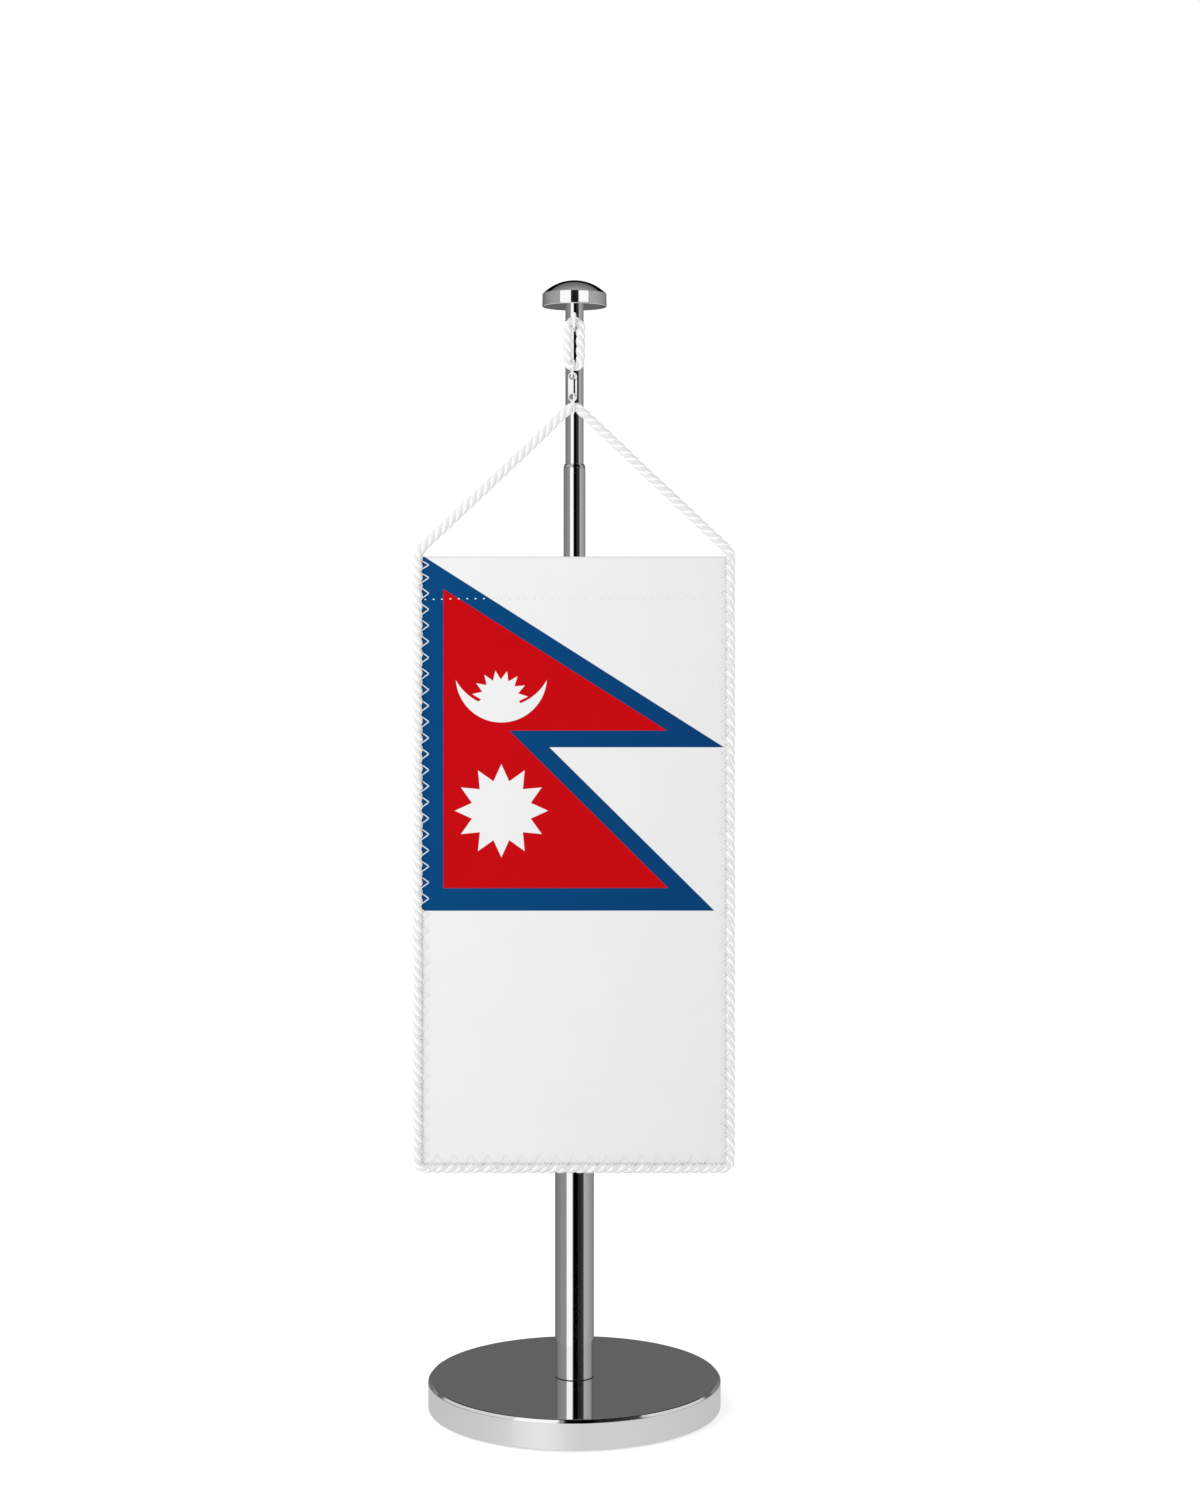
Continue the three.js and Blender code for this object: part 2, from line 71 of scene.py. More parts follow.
# ---- node helpers -----------------------------------------------------------------
class Nodes:
    """Short calls for building a node tree."""

    def __init__(self, tree):
        self.tree = tree

    def new(self, kind, **props):
        n = self.tree.nodes.new(kind)
        for k, v in props.items():
            setattr(n, k, v)
        return n

    def put(self, value, socket):
        if value is None:
            return
        if hasattr(value, "is_output"):
            self.tree.links.new(value, socket)
        else:
            socket.default_value = value

    def math(self, op, a, b=None, c=None, clamp=False):
        n = self.new("ShaderNodeMath", operation=op, use_clamp=clamp)
        for s, v in zip(n.inputs, (a, b, c)):
            self.put(v, s)
        return n.outputs[0]

    def add(self, a, b):
        return self.math("ADD", a, b)

    def sub(self, a, b):
        return self.math("SUBTRACT", a, b)

    def mul(self, a, b):
        return self.math("MULTIPLY", a, b)

    def least(self, *values):
        out = values[0]
        for v in values[1:]:
            out = self.math("MINIMUM", out, v)
        return out

    def most(self, *values):
        out = values[0]
        for v in values[1:]:
            out = self.math("MAXIMUM", out, v)
        return out

    def line(self, x, y, a, b, c):
        """a*x + b*y + c"""
        return self.math("MULTIPLY_ADD", x, a, self.math("MULTIPLY_ADD", y, b, c))

    def step(self, value, low, high, to_low=0.0, to_high=1.0, smooth=True):
        n = self.new("ShaderNodeMapRange", interpolation_type="SMOOTHSTEP" if smooth else "LINEAR")
        self.put(value, n.inputs["Value"])
        for name, v in (("From Min", low), ("From Max", high), ("To Min", to_low), ("To Max", to_high)):
            n.inputs[name].default_value = v
        return n.outputs["Result"]

    def mix(self, factor, a, b, blend="MIX"):
        n = self.new("ShaderNodeMix", data_type="RGBA", blend_type=blend, clamp_factor=True)
        self.put(factor, n.inputs[0])
        self.put(a, n.inputs[6])
        self.put(b, n.inputs[7])
        return n.outputs[2]

    def blend(self, factor, a, b):
        n = self.new("ShaderNodeMix", data_type="FLOAT", clamp_factor=True)
        self.put(factor, n.inputs[0])
        self.put(a, n.inputs[2])
        self.put(b, n.inputs[3])
        return n.outputs[0]

    def noise(self, vector, scale, detail=3.0, rough=0.55, distortion=0.0, w=None):
        n = self.new("ShaderNodeTexNoise")
        if vector is not None:
            self.put(vector, n.inputs["Vector"])
        n.inputs["Scale"].default_value = scale
        n.inputs["Detail"].default_value = detail
        n.inputs["Roughness"].default_value = rough
        n.inputs["Distortion"].default_value = distortion
        return n.outputs["Fac"]

    def scaled(self, vector, sx, sy, sz):
        n = self.new("ShaderNodeVectorMath", operation="MULTIPLY")
        self.put(vector, n.inputs[0])
        n.inputs[1].default_value = (sx, sy, sz)
        return n.outputs[0]

    def ramp(self, value, stops, mode="LINEAR"):
        n = self.new("ShaderNodeValToRGB")
        n.color_ramp.interpolation = mode
        e = n.color_ramp.elements
        while len(e) > 1:
            e.remove(e[-1])
        e[0].position = stops[0][0]
        e[0].color = stops[0][1]
        for p, c in stops[1:]:
            e.new(p).color = c
        self.put(value, n.inputs[0])
        return n.outputs[0]

    def bump(self, height, strength, distance, normal=None):
        n = self.new("ShaderNodeBump")
        n.inputs["Strength"].default_value = strength
        n.inputs["Distance"].default_value = distance
        self.put(height, n.inputs["Height"])
        if normal is not None:
            self.put(normal, n.inputs["Normal"])
        return n.outputs["Normal"]


def lin(v):
    """A grey or a colour, 0 to 255 as seen, to linear."""
    def one(x):
        x = x / 255
        return x / 12.92 if x <= 0.04045 else ((x + 0.055) / 1.055) ** 2.4
    if isinstance(v, (int, float)):
        return one(v)
    return tuple(one(x) for x in v)


def rgba(v):
    c = lin(v)
    if isinstance(c, float):
        c = (c, c, c)
    return (*c, 1.0)


def material(name):
    m = bpy.data.materials.new(name)
    m.use_nodes = True
    tree = m.node_tree
    tree.nodes.clear()
    k = Nodes(tree)
    out = k.new("ShaderNodeOutputMaterial")
    bsdf = k.new("ShaderNodeBsdfPrincipled")
    tree.links.new(bsdf.outputs[0], out.inputs[0])
    return m, k, bsdf


def object_coords(k):
    return k.new("ShaderNodeTexCoord").outputs["Object"]


def uv_coords(k, name):
    return k.new("ShaderNodeUVMap", uv_map=name).outputs["UV"]


# ---- studio -------------------------------------------------------------------------
def make_world():
    world = bpy.data.worlds.new("studio")
    scene.world = world
    world.use_nodes = True
    tree = world.node_tree
    tree.nodes.clear()
    k = Nodes(tree)
    direction = k.new("ShaderNodeTexCoord").outputs["Generated"]
    split = k.new("ShaderNodeSeparateXYZ")
    k.put(direction, split.inputs[0])
    x, y, z = split.outputs
    azimuth = k.mul(k.math("ARCTAN2", x, k.mul(y, -1.0)), 180 / math.pi)
    elevation = k.mul(k.math("ARCSINE", z), 180 / math.pi)

    def at(a):
        return (a + 180) / 360

    def grey(v):
        return (v / 255, v / 255, v / 255, 1)

    place = k.step(azimuth, -180, 180, smooth=False)
    low = k.ramp(place, [(at(a), grey(v)) for a, v in [
        (-180, 96), (-150, 108), (-120, 122), (-85, 134), (-62, 140), (-50, 138), (-47.5, 134),
        (-46.5, 250), (-12.3, 252), (-11.2, 150), (-8.5, 138), (-6.2, 10), (4, 7),
        (16.5, 9), (18.5, 32), (34, 46), (50, 58), (55, 70), (57.5, 165), (64, 168),
        (90, 156), (120, 142), (150, 122), (172, 98), (180, 84)]])
    high = k.ramp(place, [(at(a), grey(v)) for a, v in [
        (-180, 100), (-150, 128), (-120, 142), (-85, 154), (-62, 160), (-53.5, 150),
        (-52, 252), (-12.8, 252), (-11.6, 40), (4, 30),
        (14.6, 48), (15.8, 252), (52, 252), (53.5, 120), (56, 164), (64, 166),
        (90, 158), (120, 146), (150, 128), (172, 106), (180, 90)]])
    band = k.mix(k.least(k.step(elevation, 8.2, 9.0), k.step(elevation, 13.8, 14.8, 1.0, 0.0)), low, high)

    # Behind, a dark room with one grey wall low down.
    behind = k.step(k.math("ABSOLUTE", azimuth), 158, 164)
    band = k.mix(k.least(k.step(elevation, 7.6, 8.0), behind), band, grey(14))
    wide = k.step(k.math("ABSOLUTE", azimuth), 110, 130)
    band = k.mix(k.least(k.step(elevation, 13.9, 14.3), wide), band, grey(98))

    # Ceiling: brighter in front, greyer overhead and behind.
    forward = k.mul(y, -1.0)
    top = k.ramp(k.step(forward, -1.0, 1.0, smooth=False), [
        (0.0, grey(96)), (0.12, grey(98)), (0.20, grey(106)), (0.275, grey(122)), (0.35, grey(138)), (0.43, grey(155)),
        (0.52, grey(163)), (1.0, grey(166))])
    band = k.mix(k.step(elevation, 24.5, 28.0), band, top)
    room = k.least(k.step(elevation, 18.2, 18.6), k.step(elevation, 38.0, 43.0, 1.0, 0.0),
                   k.step(k.math("ABSOLUTE", azimuth), 146, 154))
    band = k.mix(room, band, grey(12))

    # High in front, pale reflectors on both sides of the window and its dark frame.
    upper = k.ramp(place, [(at(a), grey(v)) for a, v in [
        (-180, 150), (-120, 205), (-75, 214), (-61, 214), (-58.5, 250), (-17.5, 252), (-15.5, 150), (-11.5, 138), (-9, 10),
        (21, 9), (24, 30), (45, 44), (66, 66), (69.5, 190), (76, 214), (120, 205), (180, 150)]])
    past = k.sub(elevation, k.math("MULTIPLY_ADD", k.mul(azimuth, azimuth), -0.00243, 64.0))
    sides = k.step(k.math("ABSOLUTE", azimuth), 124, 130, 1.0, 0.0)
    band = k.mix(k.least(k.step(elevation, 17.0, 19.0), k.step(past, -1.0, 0.5, 1.0, 0.0), sides), band, upper)
    # A dark rail above them.
    band = k.mix(k.least(k.step(past, -1.0, 0.5), k.step(past, 9.5, 12.0, 1.0, 0.0), sides), band, grey(50))

    # The pale table, with the window's streak on it.
    table = k.ramp(place, [(at(a), grey(v)) for a, v in [
        (-180, 190), (-122, 196), (-80, 202), (-56, 208), (-43, 222), (-32, 229), (-20, 229), (-8, 218), (4, 207), (37, 208),
        (62, 204), (96, 199), (160, 191), (180, 188)]])
    band = k.mix(k.step(elevation, -16.35, -16.2, 1.0, 0.0), band, table)

    gamma = k.new("ShaderNodeGamma")
    k.put(band, gamma.inputs[0])
    gamma.inputs[1].default_value = 2.2
    seen = k.new("ShaderNodeBackground")
    k.put(gamma.outputs[0], seen.inputs[0])
    seen.inputs[1].default_value = 1.06

    # Soft light for everything that isn't polished: a little stronger from the upper left.
    soft = k.add(k.mul(k.step(x, -1, 1, 1.0, 0.0, smooth=False), 0.20),
                 k.add(k.mul(k.step(z, -1, 1, smooth=False), 0.16), k.mul(k.step(forward, -1, 1, smooth=False), 0.08)))
    even = k.new("ShaderNodeBackground")
    even.inputs[0].default_value = (1, 1, 1, 1)
    k.put(k.add(soft, 0.66), even.inputs[1])
    white = k.new("ShaderNodeBackground")
    white.inputs[0].default_value = (1, 1, 1, 1)
    white.inputs[1].default_value = 1.05

    path = k.new("ShaderNodeLightPath")
    first = k.new("ShaderNodeMixShader")
    k.put(path.outputs["Is Glossy Ray"], first.inputs[0])
    k.put(even.outputs[0], first.inputs[1])
    k.put(seen.outputs[0], first.inputs[2])
    second = k.new("ShaderNodeMixShader")
    k.put(path.outputs["Is Camera Ray"], second.inputs[0])
    k.put(first.outputs[0], second.inputs[1])
    k.put(white.outputs[0], second.inputs[2])
    out = k.new("ShaderNodeOutputWorld")
    k.put(second.outputs[0], out.inputs[0])
    if hasattr(world, "cycles"):
        world.cycles.sampling_method = "NONE"


make_world()


def make_floor():
    mesh = bpy.data.meshes.new("floor")
    s = 30.0
    mesh.from_pydata([(-s, -s, -0.0001), (s, -s, -0.0001), (s, s, -0.0001), (-s, s, -0.0001)], [], [(0, 1, 2, 3)])
    o = bpy.data.objects.new("floor", mesh)
    scene.collection.objects.link(o)
    m, k, bsdf = material("floor_paper")
    where = object_coords(k)
    tone = k.noise(where, 40.0, 2.0)
    k.put(k.mix(tone, rgba(206), rgba(211)), bsdf.inputs["Base Color"])
    bsdf.inputs["Roughness"].default_value = 0.9
    bsdf.inputs["Specular IOR Level"].default_value = 0.0
    bsdf.inputs["Emission Color"].default_value = (1, 1, 1, 1)
    bsdf.inputs["Emission Strength"].default_value = 0.52
    mesh.materials.append(m)
    o.visible_glossy = False


make_floor()


def make_key():
    data = bpy.data.lights.new("key", "AREA")
    data.shape = "RECTANGLE"
    data.size = 0.55
    data.size_y = 0.55
    data.energy = 3.1
    o = bpy.data.objects.new("key", data)
    scene.collection.objects.link(o)
    o.location = (-0.62, -0.72, 0.80)
    aim = Vector((0.0, 0.0, 0.22)) - o.location
    o.rotation_mode = "QUATERNION"
    o.rotation_quaternion = aim.to_track_quat("-Z", "Y")
    o.visible_glossy = False
    o.visible_camera = False


make_key()


# ---- materials -------------------------------------------------------------------------
def chrome(name, low=(0.895, 0.900, 0.905, 1), high=(0.930, 0.932, 0.935, 1)):
    """Polished chrome: wiping marks and a little haze in the roughness."""
    m, k, bsdf = material(name)
    where = object_coords(k)
    haze = k.noise(where, 55.0, 4.0, 0.6)
    fine = k.noise(k.scaled(where, 900.0, 900.0, 60.0), 1.0, 3.0, 0.6)
    k.put(k.mix(haze, low, high), bsdf.inputs["Base Color"])
    bsdf.inputs["Metallic"].default_value = 1.0
    k.put(k.line(haze, fine, 0.03, 0.02, 0.012), bsdf.inputs["Roughness"])
    k.put(k.bump(haze, 0.05, 0.00002), bsdf.inputs["Normal"])
    return m


def satin_metal(name, low, high, roughness, streak=(400.0, 400.0, 400.0), metal=1.0):
    """Plated or turned metal with fine tool marks."""
    m, k, bsdf = material(name)
    where = object_coords(k)
    marks = k.noise(k.scaled(where, *streak), 1.0, 4.0, 0.6)
    cloud = k.noise(where, 120.0, 3.0)
    k.put(k.mix(k.add(k.mul(marks, 0.5), k.mul(cloud, 0.5)), rgba(low), rgba(high)), bsdf.inputs["Base Color"])
    bsdf.inputs["Metallic"].default_value = metal
    k.put(k.line(marks, cloud, 0.1, 0.06, roughness - 0.08), bsdf.inputs["Roughness"])
    k.put(k.bump(marks, 0.18, 0.00005), bsdf.inputs["Normal"])
    return m


def moulded(name, low, high, roughness, scale=500.0):
    """Moulded plastic or rubber with a fine grain."""
    m, k, bsdf = material(name)
    where = object_coords(k)
    grain = k.noise(where, scale, 4.0, 0.65)
    cloud = k.noise(where, 45.0, 2.0)
    k.put(k.mix(k.line(grain, cloud, 0.6, 0.4, 0.0), rgba(low), rgba(high)), bsdf.inputs["Base Color"])
    k.put(k.line(grain, cloud, 0.18, 0.08, roughness - 0.12), bsdf.inputs["Roughness"])
    k.put(k.bump(grain, 0.3, 0.00015), bsdf.inputs["Normal"])
    return m


def rope_material(name):
    """Twisted white cord: each strand is a bundle of yarns that twist against the lay."""
    m, k, bsdf = material(name)
    uv = uv_coords(k, "strand")
    split = k.new("ShaderNodeSeparateXYZ")
    k.put(uv, split.inputs[0])
    u, v = split.outputs[0], split.outputs[1]        # turns round the strand, mm along it
    where = object_coords(k)
    wander = k.mul(k.sub(k.noise(where, 350.0, 2.0), 0.5), 0.16)
    phase = k.add(k.line(u, v, 8.0, 0.62, 0.0), k.mul(wander, 4.0))
    yarn = k.math("SINE", k.mul(phase, 2 * math.pi))
    yarn = k.line(yarn, 0.0, 0.5, 0.0, 0.5)
    groove = k.math("POWER", yarn, 0.55)
    fibre = k.noise(k.scaled(where, 1.0, 1.0, 1.0), 5200.0, 3.0, 0.7)
    patch = k.noise(where, 130.0, 3.0)
    # Painted shade: the colour is darker down the grooves between the yarns, on top of the bump that shapes them.
    tone = k.line(groove, fibre, 0.3, 0.14, 0.24)
    tone = k.line(patch, tone, 0.12, 1.0, 0.0)
    # Painted light: the crown of each strand is coloured greyer as painted shade, and its sides lighter as a painted
    # highlight along the strand edges.
    painted_crown_shade = k.step(k.math("COSINE", k.mul(u, 2 * math.pi)), 0.05, 0.75)
    k.put(k.mix(painted_crown_shade, k.mix(tone, rgba((243, 243, 242)), rgba((250, 250, 249))),
                k.mix(tone, rgba((208, 208, 207)), rgba((220, 220, 219)))), bsdf.inputs["Base Color"])
    k.put(k.line(fibre, groove, 0.2, -0.12, 0.66), bsdf.inputs["Roughness"])
    bsdf.inputs["Sheen Weight"].default_value = 0.1
    bsdf.inputs["Sheen Roughness"].default_value = 0.5
    bsdf.inputs["Specular IOR Level"].default_value = 0.2
    high = k.bump(groove, 0.1, 0.00006)
    k.put(k.bump(fibre, 0.08, 0.00002, high), bsdf.inputs["Normal"])
    return m


def thread_material(name):
    m, k, bsdf = material(name)
    uv = uv_coords(k, "strand")
    split = k.new("ShaderNodeSeparateXYZ")
    k.put(uv, split.inputs[0])
    u, v = split.outputs[0], split.outputs[1]
    ply = k.math("SINE", k.mul(k.line(u, v, 3.0, 1.5, 0.0), 2 * math.pi))
    ply = k.line(ply, 0.0, 0.5, 0.0, 0.5)
    fibre = k.noise(object_coords(k), 6000.0, 2.0)
    # Painted shade: the thread is coloured darker down the grooves between its plies, on top of their bump.
    k.put(k.mix(k.line(ply, fibre, 0.6, 0.4, 0.0), rgba((216, 216, 216)), rgba((238, 238, 238))), bsdf.inputs["Base Color"])
    k.put(k.line(fibre, ply, 0.15, -0.1, 0.5), bsdf.inputs["Roughness"])
    bsdf.inputs["Sheen Weight"].default_value = 0.2
    k.put(k.bump(ply, 0.4, 0.00008), bsdf.inputs["Normal"])
    return m


# Print, in millimetres on the flat banner: x from its middle, z from the base.
PX = 1 / 2.4646


def fx(px):
    return (px - 572.7) * PX


def fz(py):
    return 319.42 - (py - 630) * PX


def half_plane(k, x, z, p, q):
    """Positive on the lower left of the line from p to q, given in mm: its distance."""
    (x0, z0), (x1, z1) = p, q
    dx, dz = x1 - x0, z1 - z0
    length = math.hypot(dx, dz)
    a, b = dz / length, -dx / length
    if a > 0:                       # the side where x gets smaller is inside
        a, b = -a, -b
    return k.line(x, z, a, b, -(a * x0 + b * z0))


def star(k, x, z, cx, cz, tip, valley, rays, first):
    """Positive inside a star of straight rays, in mm."""
    dx, dz = k.sub(x, cx), k.sub(z, cz)
    r = k.math("SQRT", k.add(k.mul(dx, dx), k.mul(dz, dz)))
    angle = k.math("ARCTAN2", dz, dx)
    step = 2 * math.pi / rays
    turned = k.math("FRACT", k.add(k.mul(k.sub(angle, first), 1 / step), 20.5))
    folded = k.mul(k.math("ABSOLUTE", k.sub(turned, 0.5)), step)
    px, pz = k.mul(r, k.math("COSINE", folded)), k.mul(r, k.math("SINE", folded))
    vx, vz = valley * math.cos(step / 2), valley * math.sin(step / 2)
    dx, dz = vx - tip, vz
    length = math.hypot(dx, dz)
    # Left of the edge from tip to valley is inside.
    return k.line(px, pz, -dz / length, dx / length, dz * tip / length)


def disc(k, x, z, cx, cz, radius):
    dx, dz = k.sub(x, cx), k.sub(z, cz)
    return k.sub(radius, k.math("SQRT", k.add(k.mul(dx, dx), k.mul(dz, dz))))


def satin_material(name, back=False):
    """White satin with the flag printed on it; the back shows it a little paler."""
    m, k, bsdf = material(name)
    uv = uv_coords(k, "flat")
    split = k.new("ShaderNodeSeparateXYZ")
    k.put(uv, split.inputs[0])
    x, z = split.outputs[0], split.outputs[1]
    bleed = k.noise(k.scaled(uv, 1, 1, 1), 3.2, 3.0, 0.6)
    wob = k.mul(k.sub(bleed, 0.5), 0.16)
    xe, ze = k.add(x, wob), k.sub(z, wob)

    left = k.sub(xe, fx(420.3))
    one = k.least(left, half_plane(k, xe, ze, (fx(423), fz(558)), (fx(722.8), fz(748.6))), k.sub(ze, fz(748.5)))
    two = k.least(left, half_plane(k, xe, ze, (fx(547.9), fz(748.4)), (fx(713), fz(912))), k.sub(ze, fz(912)))
    blue = k.step(k.most(one, two), -0.09, 0.09)

    left = k.sub(xe, fx(441.8))
    one = k.least(left, half_plane(k, xe, ze, (fx(441.8), fz(590.1)), (fx(665.4), fz(731.7))), k.sub(ze, fz(731.8)))
    two = k.least(left, half_plane(k, xe, ze, (fx(507.8), fz(731.8)), (fx(667), fz(889.5))), k.sub(ze, fz(889.3)))
    red = k.step(k.most(one, two), -0.09, 0.09)

    moon = k.least(disc(k, xe, ze, fx(499.9), fz(678.1), 45.5 * PX),
                   k.mul(disc(k, xe, ze, fx(499.9), fz(656.2), 51.9 * PX), -1.0))
    small = star(k, xe, ze, fx(498.5), fz(699.5), 28.1 * PX, 18.8 * PX, 15, math.radians(3.4))
    small = k.least(small, k.sub(ze, fz(716)))
    sun = star(k, xe, ze, fx(499.9), fz(811.9), 46.6 * PX, 30.4 * PX, 12, 0.0)
    emblem = k.step(k.most(moon, small, sun), -0.09, 0.09)

    # Nothing is printed past the fold at the top.
    printed = k.step(z, 348.75, 348.95, 1.0, 0.0)
    blue, red = k.mul(blue, printed), k.mul(red, printed)

    # Satin weave: long floats across, fine ends down, and slubs.
    floats = k.noise(k.scaled(uv, 1.35, 7.5, 1), 1.0, 2.0, 0.6)
    ends = k.noise(k.scaled(uv, 6.5, 1.7, 1), 1.0, 2.0, 0.6)
    speck = k.noise(uv, 2.6, 2.0, 0.65)
    cloud = k.noise(uv, 0.045, 3.0, 0.5)
    twill = k.math("SINE", k.mul(k.line(x, z, 1.6, 3.1, 0.0), 2 * math.pi))
    twill = k.line(twill, 0.0, 0.5, 0.0, 0.5)
    tone = k.line(floats, ends, 0.5, 0.3, 0.0)
    tone = k.line(speck, tone, 0.35, 1.0, -0.07)
    tone = k.step(tone, 0.25, 0.75, smooth=False)
    tone = k.blend(0.3, tone, cloud)

    # Painted shade: the cloth and the blue are coloured a little greyer towards the right, as a painted fall-off of the
    # light, and in soft random patches.
    painted_falloff_shade = k.step(k.line(x, cloud, 1.0, 26.0, -13.0), -64.0, 58.0, 0.0, 1.0, smooth=False)
    if back:
        cloth = k.mix(tone, rgba((208, 208, 208)), rgba((220, 220, 220)))
        blue_c = k.mix(tone, rgba((40, 86, 134)), rgba((60, 106, 152)))
        red_c = k.mix(tone, rgba((190, 44, 48)), rgba((202, 66, 70)))
    else:
        cloth = k.mix(painted_falloff_shade, k.mix(tone, rgba((213, 213, 213)), rgba((230, 230, 230))),
                      k.mix(tone, rgba((206, 206, 206)), rgba((223, 223, 223))))
        blue_c = k.mix(painted_falloff_shade, k.mix(tone, rgba((1, 60, 109)), rgba((4, 71, 122))), k.mix(tone, rgba((0, 50, 98)), rgba((4, 60, 111))))
        red_c = k.mix(tone, rgba((174, 1, 8)), rgba((190, 5, 14)))
    colour = k.mix(blue, cloth, blue_c)
    colour = k.mix(red, colour, red_c)
    colour = k.mix(k.mul(emblem, printed), colour, cloth)
    # Painted shade along the top fold, where the cloth turns over the rod: its colour is darkened there.
    fold_painted_shade = k.least(k.step(z, 348.5, 348.9), k.step(z, 350.0, 350.6, 1.0, 0.0))
    colour = k.mix(k.mul(fold_painted_shade, 0.8), colour, rgba((184, 184, 184)))
    k.put(colour, bsdf.inputs["Base Color"])
    inked = k.most(blue, red)
    rough = k.line(floats, ends, 0.14, 0.08, 0.48 if back else 0.40)
    k.put(k.line(inked, rough, 0.06, 1.0, 0.0), bsdf.inputs["Roughness"])
    bsdf.inputs["Specular IOR Level"].default_value = 0.04
    bsdf.inputs["Sheen Weight"].default_value = 0.015
    bsdf.inputs["Sheen Roughness"].default_value = 0.4
    bsdf.inputs["Sheen Tint"].default_value = (1, 1, 1, 1)
    weave = k.bump(k.line(floats, twill, 0.7, 0.3, 0.0), 0.35, 0.00006)
    k.put(k.bump(k.line(ends, speck, 0.5, 0.5, 0.0), 0.25, 0.00005, weave), bsdf.inputs["Normal"])
    return m


M = {
    "chrome": chrome("chrome"),
    "chrome_dull": chrome("chrome_dull", (0.43, 0.43, 0.44, 1), (0.50, 0.50, 0.51, 1)),
    "bright": satin_metal("bright_nickel", (228, 228, 227), (240, 240, 239), 0.3, metal=0.12),
    "rivet": satin_metal("rivet_nickel", (128, 128, 127), (158, 158, 156), 0.34, metal=0.3),
    "steel": satin_metal("turned_steel", (150, 153, 158), (192, 195, 199), 0.36, (700.0, 700.0, 90.0)),
    # Dark colour of the pole's foot chamfer: painted shade of the joint.
    "joint": moulded("painted_joint_shade", (30, 30, 31), (52, 51, 50), 0.6, 900.0),
    "pad": moulded("foam_rubber", (20, 20, 21), (38, 38, 39), 0.86, 900.0),
    "black": moulded("black_nylon", (26, 27, 29), (44, 45, 48), 0.5, 1200.0),
    "rod": moulded("white_rod", (206, 206, 204), (226, 226, 224), 0.45, 800.0),
    "rope": rope_material("white_cord"),
    "thread": thread_material("white_thread"),
    "satin": satin_material("satin_front"),
    "satin_back": satin_material("satin_reverse", back=True),
}


# ---- geometry helpers (millimetres) --------------------------------------------------------
def put_mesh(name, verts, faces, mats, uvs=None, uv_name=None, sharp=None, mat_index=None):
    mesh = bpy.data.meshes.new(name)
    mesh.from_pydata([tuple(c * MM for c in v) for v in verts], [], faces)
    for mat in mats:
        mesh.materials.append(M[mat])
    if uvs is not None:
        layer = mesh.uv_layers.new(name=uv_name)
        layer.data.foreach_set("uv", np.array(uvs, np.float32).ravel())
    if mat_index is not None:
        mesh.polygons.foreach_set("material_index", np.array(mat_index, np.int32))
    mesh.polygons.foreach_set("use_smooth", [True] * len(mesh.polygons))
    mesh.update()
    if sharp is not None:
        mesh.set_sharp_from_angle(angle=math.radians(sharp))
    o = bpy.data.objects.new(name, mesh)
    scene.collection.objects.link(o)
    return o


def fillets(corners, closed, steps=7, guard=0.1):
    """Rounds a profile: entries are (r, z) or (r, z, radius). A guard point beside each arc keeps the flats flat in the shading."""
    pts = [np.array(c[:2], float) for c in corners]
    radii = [c[2] if len(c) > 2 else 0.0 for c in corners]
    out, n = [], len(pts)
    for i in range(n):
        p, radius = pts[i], radii[i]
        ends = not closed and i in (0, n - 1)
        if radius <= 0 or ends:
            out.append(tuple(p))
            continue
        a, b = pts[i - 1] - p, pts[(i + 1) % n] - p
        la, lb = np.linalg.norm(a), np.linalg.norm(b)
        a, b = a / la, b / lb
        half = math.acos(max(-1, min(1, float(a @ b)))) / 2
        reach = radius / math.tan(half)
        bis = (a + b) / np.linalg.norm(a + b)
        centre = p + bis * radius / math.sin(half)
        s, e = p + a * reach - centre, p + b * reach - centre
        t0, t1 = math.atan2(s[1], s[0]), math.atan2(e[1], e[0])
        turn = (t1 - t0 + math.pi) % (2 * math.pi) - math.pi
        if la - reach > 2.5 * guard:
            out.append(tuple(p + a * (reach + guard)))
        for j in range(steps + 1):
            t = t0 + turn * j / steps
            out.append((centre[0] + radius * math.cos(t), centre[1] + radius * math.sin(t)))
        if lb - reach > 2.5 * guard:
            out.append(tuple(p + b * (reach + guard)))
    return out


def lathe(name, corners, mat, closed=True, segments=176, steps=7, sharp=40, guard=0.1):
    """A turned piece about the Z axis. An open profile starts and ends on the axis."""
    prof = fillets(corners, closed, steps, guard)
    verts, rings = [], []
    for r, z in prof:
        if r < 1e-6:
            rings.append([len(verts)])
            verts.append((0, 0, z))
        else:
            start = len(verts)
            for j in range(segments):
                t = 2 * math.pi * j / segments
                verts.append((r * math.cos(t), r * math.sin(t), z))
            rings.append(list(range(start, start + segments)))
    faces = []
    pairs = list(zip(rings, rings[1:]))
    if closed:
        pairs.append((rings[-1], rings[0]))
    for lo, hi in pairs:
        for j in range(segments):
            k = (j + 1) % segments
            if len(lo) == 1 and len(hi) == 1:
                continue
            if len(lo) == 1:
                faces.append((lo[0], hi[k], hi[j]))
            elif len(hi) == 1:
                faces.append((lo[j], lo[k], hi[0]))
            else:
                faces.append((lo[j], lo[k], hi[k], hi[j]))
    o = put_mesh(name, verts, faces, [mat], sharp=sharp)
    outwards(o)
    o.data.set_sharp_from_angle(angle=math.radians(sharp))
    return o


def outwards(o):
    bm = bmesh.new()
    bm.from_mesh(o.data)
    bmesh.ops.recalc_face_normals(bm, faces=bm.faces)
    bm.to_mesh(o.data)
    bm.free()


